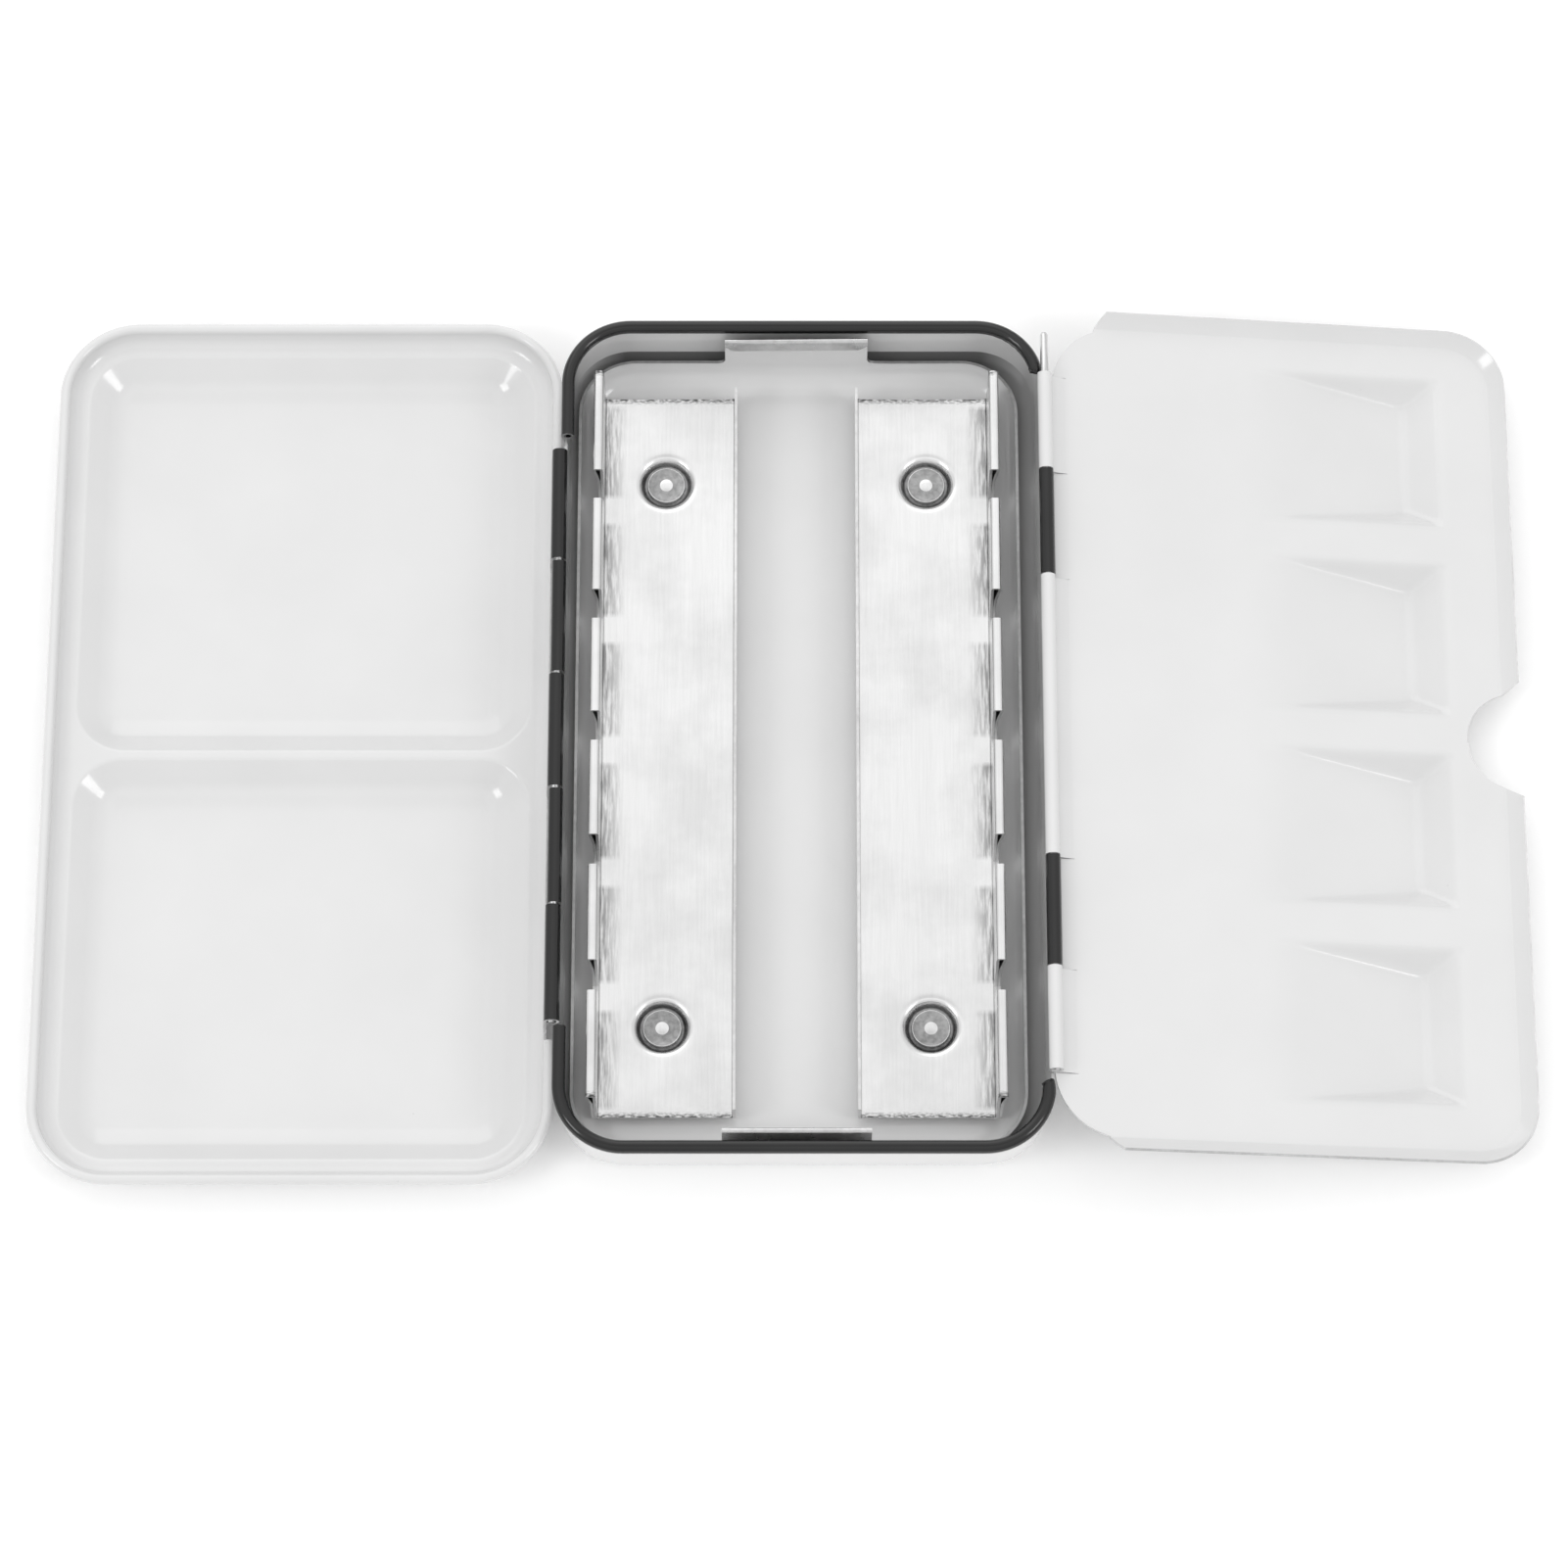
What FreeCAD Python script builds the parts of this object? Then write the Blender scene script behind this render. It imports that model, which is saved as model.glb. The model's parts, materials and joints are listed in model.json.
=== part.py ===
"""Folding enamelled tin palette for half pans of watercolour, modelled open.

Frame: millimetres, +Z up, origin on the table under the middle of the base.
+X points to the mixing flap, -X to the lid, +Y to the far end of the tin.
The base stands in the middle. The lid lies open on the table on the left. The mixing flap
hangs open on the right, a few degrees below level.
"""
import FreeCAD, Part
import os
from math import atan2, cos, radians, sin, tan

V = FreeCAD.Vector

# --- sheet and clearances ------------------------------------------------------------------
sheet = 0.4             # thickness of every pressed sheet
pin_clearance = 0.05    # radial running clearance of a moving knuckle on its pin
knuckle_gap = 0.15      # side gap between neighbouring knuckles
swing_clearance = 0.15  # space left under a barrel by the wall it turns over
rest_clearance = 0.1    # closed flap above the rim

# --- base shell ----------------------------------------------------------------------------
base_width = 67.0       # over the curled rim, along X
base_length = 121.0     # over the curled rim, along Y
base_height = 12.7      # table to the top of the rim
base_corner = 9.5       # outer corner radius of the rim, seen from above
base_bottom_radius = 5.0
rim_diameter = 1.8      # inward-curled rim
rim_overhang = 0.3      # rim outside the wall

# --- liner pan -----------------------------------------------------------------------------
liner_play_x = 4.2      # free width inside the base's walls, both sides together
liner_play_y = 4.0      # free length inside the base's walls, both ends together
liner_height = 4.1
liner_corner = 8.0
liner_bottom_radius = 3.6
liner_shift = -0.65     # liner sits nearer to the lid hinge
tab_width = 19.9        # finger tab in the middle of each end
tab_below_rim = 0.4     # top of the tab's folded lip under the top of the base's rim
tab_hem = 2.2           # height of the lip's folded-down leaf
tab_hem_chamfer = 1.2

# --- pan-holder trays ----------------------------------------------------------------------
tray_width = 19.9       # outside, along X
tray_end_gap = 5.0      # from the end of a tray to the end of the liner
tray_side_gap = 2.6     # from the side of a tray to the side of the liner
tray_shift = -0.3       # middle of the pair from the middle of the liner
tray_gap = 1.4          # free height between the liner floor and a tray
pans_per_tray = 6
end_tab_cut = 0.75      # an end tab is shorter than a pan's pitch by this
flange_below_rim = 0.5  # top of the outer flange under the top of the base's rim
inner_flange = 3.9      # above the tray floor
fold_width = 1.4        # width of the outer flange's folded-over top
fold_foot = 0.9         # width over both leaves at the foot of the fold
notch_top = 4.35        # opening between two spring tabs, at the top
notch_foot = 2.0
notch_floor = 1.6       # solid flange left under a notch
cup_inset = 12.9        # from the end of a tray to the middle of its fixing cup
cup_play = 0.35         # between the head of a rivet and the wall of its cup
cup_wall_run = 0.45     # how much narrower the cup is at its bottom, per side
rivet_head = 5.3
rivet_height = 0.7
rivet_edge = 0.25
rivet_shank = 3.0

# --- lid -----------------------------------------------------------------------------------
lid_over_width = 3.4    # lid over its rolled rim, wider than the base
lid_over_length = 4.8   # lid over its rolled rim, longer than the base
lid_height = 6.2        # table to the top of the rolled rim
lid_corner = 11.0
lid_rim_diameter = 1.4  # outward-rolled rim
lid_rim_overhang = 1.0  # rim outside the wall
lid_ledge_depth = 2.7   # rim top to the ledge round the wells
lid_wall_radius = 2.4   # round between the wall and the ledge
well_border = 2.9       # outer wall face to the edge of a well, at the ledge
well_slope_run = 4.2    # horizontal run of a well's sloping side
well_ridge = 1.0        # flat top of the ridge between the wells
well_corner = 7.0
upper_well_share = 0.509  # the far well's share of the length

# --- lid hinge -----------------------------------------------------------------------------
lid_hinge_out = 0.2     # axis outside the curled rim
lid_seat = 0.9          # closed lid's rim above the base's rim
lid_pin_diameter = 1.2
lid_wall_bite = 0.2     # how far the barrels reach into the lid's wall
lid_hinge_inset = 18.75  # from the end of the base to the end of the hinge
lid_knuckles = 5

# --- mixing flap ---------------------------------------------------------------------------
flap_droop = 7.6        # degrees below level when fully open
flap_hinge_out = 0.0    # axis outside the curled rim
flap_shift = 0.9        # middle of the flap from the middle of the base, along Y
flap_short = 1.5        # free edge inside the far side of the rim when closed
flap_over_length = 1.0  # flap longer than the base
flap_drop = 1.3         # mixing face below the hinge axis
lip_run = 2.1           # sloping lip round the three free sides
lip_rise = 1.6
lip_start = 7.3         # where the lip begins, from the hinge axis
lip_chamfer = 1.6
flap_corner = 6.4       # corner radius of the flat plate at the free edge
flap_hinge_corner = 9.0
flap_edge = 1.3         # hinge-side edge of the plate, from the axis
slant_margin = 9.3      # from the outer edge of a well to the free edge
slant_wall_run = 4.4    # from the outer edge of a well to its deepest line
slant_length = 25.2     # from the outer edge of a well to where its floor leaves the plate
slant_depth = 3.3
slant_side_run = 3.2
slant_gap = 5.7         # flat left between two wells
slant_end_gap = 2.7     # half of a gap's share left at each end of the row, inside the lip
slant_shift = 0.7       # middle of the four wells from the middle of the flap
slant_wells = 4
thumb_radius = 7.0
thumb_depth = 7.3       # from the free edge to the bottom of the thumb notch

# --- flap hinge ----------------------------------------------------------------------------
flap_pin_diameter = 1.1
flap_hinge_shift = 1.3  # middle of the hinge from the middle of the base, along Y
flap_end_knuckle = 14.6
flap_base_knuckle = 15.7
flap_hinge_inset = 9.8  # from the end of the base to the end of the hinge, before its shift
pin_overhang = 6.2      # the flap's pin stands out past the far knuckle
knuckle_ramp = 3.2      # the plate climbs to its knuckles over this length
rim_cut_extra = 1.2     # the curled rim stops this far outside each hinge


def rounded_wire(x0, x1, y0, y1, z, radii):
    """Closed outline at height z; radii at (x0,y0), (x1,y0), (x1,y1), (x0,y1)."""
    centres = [(x0 + radii[0], y0 + radii[0]), (x1 - radii[1], y0 + radii[1]),
               (x1 - radii[2], y1 - radii[2]), (x0 + radii[3], y1 - radii[3])]
    edges = []
    points = []
    for (cx, cy), radius, turn in zip(centres, radii, (0, 90, 180, 270)):
        arc_points = []
        for step in (180, 225, 270):
            angle = radians(step + turn)
            arc_points.append(V(cx + radius * cos(angle), cy + radius * sin(angle), z))
        points.append(arc_points)
    for index, arc_points in enumerate(points):
        edges.append(Part.Arc(*arc_points).toShape())
        following = points[(index + 1) % 4][0]
        edges.append(Part.makeLine(arc_points[2], following))
    return Part.Wire(edges)


def rounded_slab(x0, x1, y0, y1, z0, z1, radius):
    radii = radius if isinstance(radius, tuple) else (radius,) * 4
    face = Part.Face(rounded_wire(x0, x1, y0, y1, z0, radii))
    return face.extrude(V(0, 0, z1 - z0))


def edges_at(shape, z):
    level = []
    for edge in shape.Edges:
        bounds = edge.BoundBox
        if abs(bounds.ZMin - z) < 1e-4 and abs(bounds.ZMax - z) < 1e-4:
            level.append(edge)
    return level


def box(x0, x1, y0, y1, z0, z1):
    return Part.makeBox(x1 - x0, y1 - y0, z1 - z0, V(x0, y0, z0))


def pipe(outline, centre, radius):
    """Round bar along a closed outline; centre is a point of its first straight run."""
    profile = Part.Wire(Part.makeCircle(radius, centre, V(0, 1, 0)))
    return outline.makePipeShell([profile], True, False)


def rolled_rim(x0, x1, y0, y1, z, corner, diameter):
    """Curled sheet: a tube whose outer side lies on the given outline, top at height z."""
    radius = diameter / 2
    path = rounded_wire(x0 + radius, x1 - radius, y0 + radius, y1 - radius, z - radius,
                        (corner - radius,) * 4)
    start = V(x1 - radius, 0, z - radius)
    return pipe(path, start, radius), pipe(path, start, radius - sheet)


def prism_y(points, y0, y1):
    """Extrude an outline given in the X-Z plane from y0 to y1."""
    corners = [V(x, y0, z) for x, z in points]
    corners.append(corners[0])
    return Part.Face(Part.makePolygon(corners)).extrude(V(0, y1 - y0, 0))


def barrel(x, z, radius, y0, y1):
    return Part.makeCylinder(radius, y1 - y0, V(x, y0, z), V(0, 1, 0))


def knuckle_spans(first, widths, gap):
    """Start and end of each knuckle along Y, from the near end."""
    spans = []
    place = first
    for width in widths:
        spans.append((place + gap / 2, place + width - gap / 2))
        place += width
    return spans


half_width = base_width / 2
half_length = base_length / 2
wall_x = half_width - rim_overhang
wall_y = half_length - rim_overhang
wall_corner = base_corner - rim_overhang

# Liner and trays: one sheet above the other on the base's floor.
liner_width = 2 * (wall_x - sheet) - liner_play_x
liner_length = 2 * (wall_y - sheet) - liner_play_y
liner_floor = 2 * sheet
tab_top = base_height - tab_below_rim
tray_floor = liner_floor + tray_gap + sheet
tray_length = liner_length - 2 * tray_end_gap
tray_spacing = liner_width - tray_width - 2 * tray_side_gap
trays_middle = liner_shift + tray_shift
outer_flange = base_height - flange_below_rim - tray_floor
pan_pitch = (tray_length + 2 * end_tab_cut) / pans_per_tray
cup_spacing = tray_length - 2 * cup_inset
cup_bottom = rivet_head / 2 + cup_play + sheet
cup_top = cup_bottom + cup_wall_run

# Lid and flap.
lid_width = base_width + lid_over_width
lid_length = base_length + lid_over_length
flap_reach = base_width + flap_hinge_out - flap_short
flap_width = base_length + flap_over_length
slant_pitch = (flap_width - 2 * lip_run - 2 * slant_end_gap) / slant_wells
slant_half_width = (slant_pitch - slant_gap) / 2
slant_end = flap_reach - slant_margin
slant_deep = slant_end - slant_wall_run
slant_start = slant_end - slant_length

# Knuckles of both hinges, counted from the near end. Even places belong to the moving leaf.
lid_knuckle = (base_length - 2 * lid_hinge_inset) / lid_knuckles
flap_middle_knuckle = base_length - 2 * (flap_hinge_inset + flap_end_knuckle + flap_base_knuckle)
lid_spans = knuckle_spans(-lid_knuckle * lid_knuckles / 2, [lid_knuckle] * lid_knuckles, knuckle_gap)
flap_widths = [flap_end_knuckle, flap_base_knuckle, flap_middle_knuckle, flap_base_knuckle,
               flap_end_knuckle]
flap_spans = knuckle_spans(flap_hinge_shift - sum(flap_widths) / 2, flap_widths, knuckle_gap)
lid_barrel = lid_pin_diameter / 2 + pin_clearance + sheet
flap_barrel = flap_pin_diameter / 2 + pin_clearance + sheet

lid_axis_x = -half_width - lid_hinge_out
lid_axis_z = (base_height + lid_seat + lid_height) / 2
flap_axis_x = half_width + flap_hinge_out
flap_axis_z = base_height + rest_clearance + lip_rise - flap_drop


def make_base_shell():
    outer = rounded_slab(-wall_x, wall_x, -wall_y, wall_y, 0, base_height - rim_diameter / 2, wall_corner)
    outer = outer.makeFillet(base_bottom_radius, edges_at(outer, 0))
    inner = rounded_slab(-wall_x + sheet, wall_x - sheet, -wall_y + sheet, wall_y - sheet,
                         sheet, base_height, wall_corner - sheet)
    inner = inner.makeFillet(base_bottom_radius - sheet, edges_at(inner, sheet))
    rim, hollow = rolled_rim(-half_width, half_width, -half_length, half_length, base_height,
                             base_corner, rim_diameter)
    shell = outer.cut(inner).fuse(rim).cut(hollow)
    # The rim and the top of the wall stop at both hinges.
    lid_cut = lid_axis_z - lid_barrel - swing_clearance
    flap_cut = flap_axis_z - flap_barrel - swing_clearance
    shell = shell.cut(box(-half_width - 1, -half_width + rim_diameter + 1, lid_spans[0][0] - rim_cut_extra,
                          lid_spans[-1][1] + rim_cut_extra, lid_cut, base_height + 1))
    shell = shell.cut(box(half_width - rim_diameter - 1, half_width + 1, flap_spans[0][0] - rim_cut_extra,
                          flap_spans[-1][1] + rim_cut_extra, flap_cut, base_height + 1))
    straps = []
    for y0, y1 in lid_spans[1::2]:
        straps.append(box(-wall_x, -wall_x + sheet, y0, y1, lid_cut - 1, lid_axis_z))
        straps.append(barrel(lid_axis_x, lid_axis_z, lid_barrel, y0, y1))
    for y0, y1 in flap_spans[1::2]:
        straps.append(box(wall_x - sheet, wall_x, y0, y1, flap_cut - 1, flap_axis_z))
        straps.append(barrel(flap_axis_x, flap_axis_z, flap_barrel, y0, y1))
    shell = shell.fuse(straps)
    for y0, y1 in lid_spans[1::2]:
        shell = shell.cut(barrel(lid_axis_x, lid_axis_z, lid_pin_diameter / 2, y0 - 1, y1 + 1))
    for y0, y1 in flap_spans[1::2]:
        shell = shell.cut(barrel(flap_axis_x, flap_axis_z, flap_pin_diameter / 2, y0 - 1, y1 + 1))
    return shell.removeSplitter()


def make_liner_pan():
    x0 = liner_shift - liner_width / 2
    x1 = liner_shift + liner_width / 2
    y1 = liner_length / 2
    outer = rounded_slab(x0, x1, -y1, y1, sheet, sheet + liner_height, liner_corner)
    outer = outer.makeFillet(liner_bottom_radius, edges_at(outer, sheet))
    inner = rounded_slab(x0 + sheet, x1 - sheet, -y1 + sheet, y1 - sheet, liner_floor,
                         sheet + liner_height + 1, liner_corner - sheet)
    inner = inner.makeFillet(liner_bottom_radius - sheet, edges_at(inner, liner_floor))
    pan = outer.cut(inner)
    t0 = trays_middle - tab_width / 2
    t1 = trays_middle + tab_width / 2
    for side in (-1, 1):
        face = side * y1
        leaf = box(t0, t1, min(face, face - side * sheet), max(face, face - side * sheet),
                   liner_height, tab_top)
        fold_y = sorted((face - side * sheet, face - side * 2 * sheet))
        hem = [V(t0, fold_y[0], tab_top), V(t1, fold_y[0], tab_top),
               V(t1, fold_y[0], tab_top - tab_hem + tab_hem_chamfer),
               V(t1 - tab_hem_chamfer, fold_y[0], tab_top - tab_hem),
               V(t0 + tab_hem_chamfer, fold_y[0], tab_top - tab_hem),
               V(t0, fold_y[0], tab_top - tab_hem + tab_hem_chamfer)]
        hem.append(hem[0])
        folded = Part.Face(Part.makePolygon(hem)).extrude(V(0, sheet, 0))
        pan = pan.fuse([leaf, folded])
    for x, y in rivet_places():
        pan = pan.cut(Part.makeCylinder(rivet_shank / 2, 3, V(x, y, 0), V(0, 0, 1)))
    return pan.removeSplitter()


def tray_centre(side):
    """Centre line of the left (-1) or the right (1) tray."""
    return trays_middle + side * tray_spacing / 2


def rivet_places():
    return [(tray_centre(side), end * cup_spacing / 2) for side in (-1, 1) for end in (-1, 1)]


def make_tray(side):
    """One bent tinplate holder; its tall folded flange is on the outer side."""
    centre = tray_centre(side)
    half = tray_width / 2
    y1 = tray_length / 2
    top = tray_floor + outer_flange
    under = tray_floor - sheet

    def across(points):
        return [(centre + side * x, z) for x, z in points]

    foot = half - (fold_width - fold_foot) / 2
    floor = prism_y(across([(-half, under), (foot, under), (foot, tray_floor), (-half, tray_floor)]), -y1, y1)
    inner = prism_y(across([(-half, under), (-half + sheet, under),
                            (-half + sheet, tray_floor + inner_flange),
                            (-half, tray_floor + inner_flange)]), -y1, y1)
    fold_radius = fold_width / 2
    fold_z = top - fold_radius
    leaf_in = half - fold_width
    fold_x = centre + side * (half - fold_radius)
    fold = prism_y(across([(leaf_in, under), (leaf_in + fold_foot, under), (half, fold_z),
                           (leaf_in, fold_z)]), -y1, y1)
    fold = fold.fuse(barrel(fold_x, fold_z, fold_radius, -y1, y1))
    core = prism_y(across([(leaf_in + sheet, under - 1), (leaf_in + fold_foot - sheet, under - 1),
                           (half - sheet, fold_z), (leaf_in + sheet, fold_z)]), -y1 - 1, y1 + 1)
    core = core.fuse(barrel(fold_x, fold_z, fold_radius - sheet, -y1 - 1, y1 + 1))
    tray = floor.fuse([inner, fold.cut(core)])
    # Spring tabs: one slanted notch between two pans.
    depth_z = tray_floor + notch_floor
    for number in range(1, pans_per_tray):
        y = (number - pans_per_tray / 2) * pan_pitch
        notch = [V(0, y - notch_foot / 2, depth_z), V(0, y + notch_foot / 2, depth_z),
                 V(0, y + notch_top / 2, top + 0.01), V(0, y - notch_top / 2, top + 0.01)]
        notch.append(notch[0])
        x_start = centre + side * (leaf_in - 0.5)
        cutter = Part.Face(Part.makePolygon(notch)).extrude(V(side * (fold_width + 1), 0, 0))
        cutter.translate(V(x_start, 0, 0))
        tray = tray.cut(cutter)
    # Fixing cups pressed down on to the liner floor.
    depth = tray_floor - liner_floor
    for end in (-1, 1):
        place = V(centre, end * cup_spacing / 2, liner_floor)
        cup = Part.makeCone(cup_bottom, cup_top, depth, place)
        inside = Part.makeCone(cup_bottom - sheet, cup_top - sheet, depth - sheet + 0.01,
                               place + V(0, 0, sheet))
        tray = tray.fuse(cup).cut(inside)
        tray = tray.cut(Part.makeCylinder(rivet_shank / 2, depth, place - V(0, 0, 0.5)))
    return tray.removeSplitter()


def make_rivet(x, y):
    seat = liner_floor + sheet
    head = Part.makeCylinder(rivet_head / 2, rivet_height, V(x, y, seat))
    head = head.makeFillet(rivet_edge, edges_at(head, seat + rivet_height))
    shank = Part.makeCylinder(rivet_shank / 2, seat - sheet, V(x, y, sheet))
    return head.fuse(shank).removeSplitter()


# Lid, in its open place. Its hinge side faces the base.
lid_x1 = lid_axis_x - lid_barrel + lid_wall_bite + lid_rim_overhang
lid_x0 = lid_x1 - lid_width
lid_wall_x0 = lid_x0 + lid_rim_overhang
lid_wall_x1 = lid_x1 - lid_rim_overhang
lid_wall_y = lid_length / 2 - lid_rim_overhang
lid_wall_corner = lid_corner - lid_rim_overhang
lid_ledge = lid_height - lid_ledge_depth
well_depth = lid_ledge - sheet


def lid_mass(offset, top):
    """The lid's pressed volume up to a height; offset 0 is the outer face, a sheet the inner."""
    base = lid_ledge - sheet + offset
    mass = rounded_slab(lid_wall_x0 + offset, lid_wall_x1 - offset, -lid_wall_y + offset,
                        lid_wall_y - offset, base, lid_height + lid_wall_radius, lid_wall_corner - offset)
    mass = mass.makeFillet(lid_wall_radius + sheet - offset, edges_at(mass, base))
    near = -lid_wall_y + well_border
    far = lid_wall_y - well_border
    ridge_y = far - (far - near) * upper_well_share
    side = offset * tan(atan2(well_depth, well_slope_run) / 2)
    x0 = lid_wall_x0 + well_border + side
    x1 = lid_wall_x1 - well_border - side
    for y0, y1 in ((near, ridge_y - well_ridge / 2), (ridge_y + well_ridge / 2, far)):
        mass = mass.fuse(sloped_well(x0, x1, y0 + side, y1 - side, offset, base))
    return mass.common(box(lid_x0, lid_x1, -lid_length / 2, lid_length / 2, 0, top))


def sloped_well(x0, x1, y0, y1, z0, z1):
    """Well with sloping sides: widest at z1, narrower by the slope's run at z0."""
    run = well_slope_run
    low = rounded_wire(x0 + run, x1 - run, y0 + run, y1 - run, z0, (well_corner - run,) * 4)
    high = rounded_wire(x0, x1, y0, y1, z1, (well_corner,) * 4)
    return Part.makeLoft([low, high], True, True).fuse(Part.Face(high).extrude(V(0, 0, sheet / 2)))


def make_lid():
    rim, hollow = rolled_rim(lid_x0, lid_x1, -lid_length / 2, lid_length / 2, lid_height,
                             lid_corner, lid_rim_diameter)
    lid = lid_mass(0, lid_height - lid_rim_diameter / 2).fuse(rim).cut(hollow)
    lid = lid.cut(lid_mass(sheet, lid_height + 1))
    # The rolled rim stops at the hinge.
    lid = lid.cut(box(lid_wall_x1, lid_x1 + 1, lid_spans[0][0] - rim_cut_extra,
                      lid_spans[-1][1] + rim_cut_extra, lid_ledge, lid_height + 1))
    straps = []
    for y0, y1 in lid_spans[0::2]:
        straps.append(box(lid_wall_x1 - sheet, lid_wall_x1, y0, y1, lid_ledge, lid_axis_z))
        straps.append(barrel(lid_axis_x, lid_axis_z, lid_barrel, y0, y1))
    lid = lid.fuse(straps)
    bore = lid_pin_diameter / 2 + pin_clearance
    for y0, y1 in lid_spans[0::2]:
        lid = lid.cut(barrel(lid_axis_x, lid_axis_z, bore, y0 - 1, y1 + 1))
    return lid.removeSplitter()


def make_lid_pin():
    return barrel(lid_axis_x, lid_axis_z, lid_pin_diameter / 2, lid_spans[0][0], lid_spans[-1][1])


def slanted_well(offset):
    """Wedge under the plate, deepest near the free edge; local frame, mixing face at z = 0."""
    grow = 0.8 * offset
    a = slant_half_width + grow
    b = slant_half_width - slant_side_run + grow
    deep = -slant_depth - offset
    top = [V(slant_start - 2 * offset, -a, 0), V(slant_end + grow, -a, 0), V(slant_end + grow, a, 0),
           V(slant_start - 2 * offset, a, 0)]
    low = [V(slant_deep, -b, deep), V(slant_deep, b, deep)]
    faces = [[top[0], top[1], top[2], top[3]], [top[0], low[0], top[1]], [top[1], low[0], low[1], top[2]],
             [top[2], low[1], top[3]], [top[3], low[1], low[0], top[0]]]
    shells = []
    for corners in faces:
        shells.append(Part.Face(Part.makePolygon(corners + [corners[0]])))
    return Part.makeSolid(Part.makeShell(shells))


def lip_body(radii, plate_end, plate_half, inset):
    """Frustum whose side is the lip's outer (inset 0) or inner (inset one sheet) face."""
    wires = []
    for spread, z in ((-inset, -sheet), (lip_run - inset, lip_rise)):
        wires.append(rounded_wire(flap_edge - spread, plate_end + spread, -plate_half - spread,
                                  plate_half + spread, z, tuple(r + spread for r in radii)))
    return Part.makeLoft(wires, True, True)


def make_flap():
    """Built level in the hinge's own frame (X from the axis, Z = 0 at the mixing face)."""
    plate_half = flap_width / 2 - lip_run
    plate_end = flap_reach - lip_run
    radii = (flap_hinge_corner, flap_corner, flap_corner, flap_hinge_corner)
    plate = rounded_slab(flap_edge, plate_end, -plate_half, plate_half, -sheet, 0, radii)
    # Sloping lip along three sides.
    lip = lip_body(radii, plate_end, plate_half, 0).cut(lip_body(radii, plate_end, plate_half, sheet))
    reach = flap_width / 2 + 1
    keep = prism_y([(lip_start, -sheet), (lip_start + lip_chamfer, lip_rise), (flap_reach + 1, lip_rise),
                    (flap_reach + 1, -sheet)], -reach, reach)
    flap = plate.fuse(lip.common(keep))
    first = slant_shift - slant_pitch * (slant_wells - 1) / 2
    for number in range(slant_wells):
        place = V(0, first + number * slant_pitch, 0)
        skin = slanted_well(sheet)
        hollow = slanted_well(0)
        skin.translate(place)
        hollow.translate(place)
        flap = flap.fuse(skin).cut(hollow)
    # Thumb notch in the middle of the free edge.
    centre = flap_reach - thumb_depth + thumb_radius
    notch = Part.makeCylinder(thumb_radius, 4, V(centre, 0, -2))
    notch = notch.fuse(box(centre, flap_reach + 1, -thumb_radius, thumb_radius, -2, 2))
    flap = flap.cut(notch)
    # Knuckles, with the ramp from the plate up to each barrel.
    bore = flap_pin_diameter / 2 + pin_clearance
    rise = flap_drop - flap_barrel
    for y0, y1 in flap_spans[0::2]:
        a = y0 - flap_shift
        b = y1 - flap_shift
        ramp = prism_y([(knuckle_ramp, -sheet), (knuckle_ramp, 0), (0, rise + sheet), (0, rise),
                        (flap_edge, (rise - sheet) / 2), (flap_edge, -sheet)], a, b)
        flap = flap.fuse([ramp, barrel(0, flap_drop, flap_barrel, a, b)])
    for y0, y1 in flap_spans[0::2]:
        flap = flap.cut(barrel(0, flap_drop, bore, y0 - flap_shift - 1, y1 - flap_shift + 1))
    flap = flap.removeSplitter()
    flap.translate(V(0, 0, -flap_drop))
    flap.rotate(V(0, 0, 0), V(0, 1, 0), flap_droop)
    flap.translate(V(flap_axis_x, flap_shift, flap_axis_z))
    return flap


def make_flap_pin():
    return barrel(flap_axis_x, flap_axis_z, flap_pin_diameter / 2, flap_spans[0][0],
                  flap_spans[-1][1] + pin_overhang)


def build():
    nodes = {
        "base_shell": make_base_shell(),
        "liner_pan": make_liner_pan(),
        "pan_tray_left": make_tray(-1),
        "pan_tray_right": make_tray(1),
        "lid": make_lid(),
        "lid_hinge_pin": make_lid_pin(),
        "mixing_flap": make_flap(),
        "flap_hinge_pin": make_flap_pin(),
    }
    names = ("tray_rivet_left_near", "tray_rivet_left_far", "tray_rivet_right_near", "tray_rivet_right_far")
    for name, (x, y) in zip(names, rivet_places()):
        nodes[name] = make_rivet(x, y)
    return nodes


os.makedirs("parts", exist_ok=True)
for name, shape in build().items():
    shape.exportStep("parts/" + name + ".step")
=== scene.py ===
import json
from math import acos, asin, atan2, cos, degrees, hypot, pi, radians, sin, sqrt, tan

import bmesh
import bpy
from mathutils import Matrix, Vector, noise
from mathutils.geometry import delaunay_2d_cdt


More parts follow.
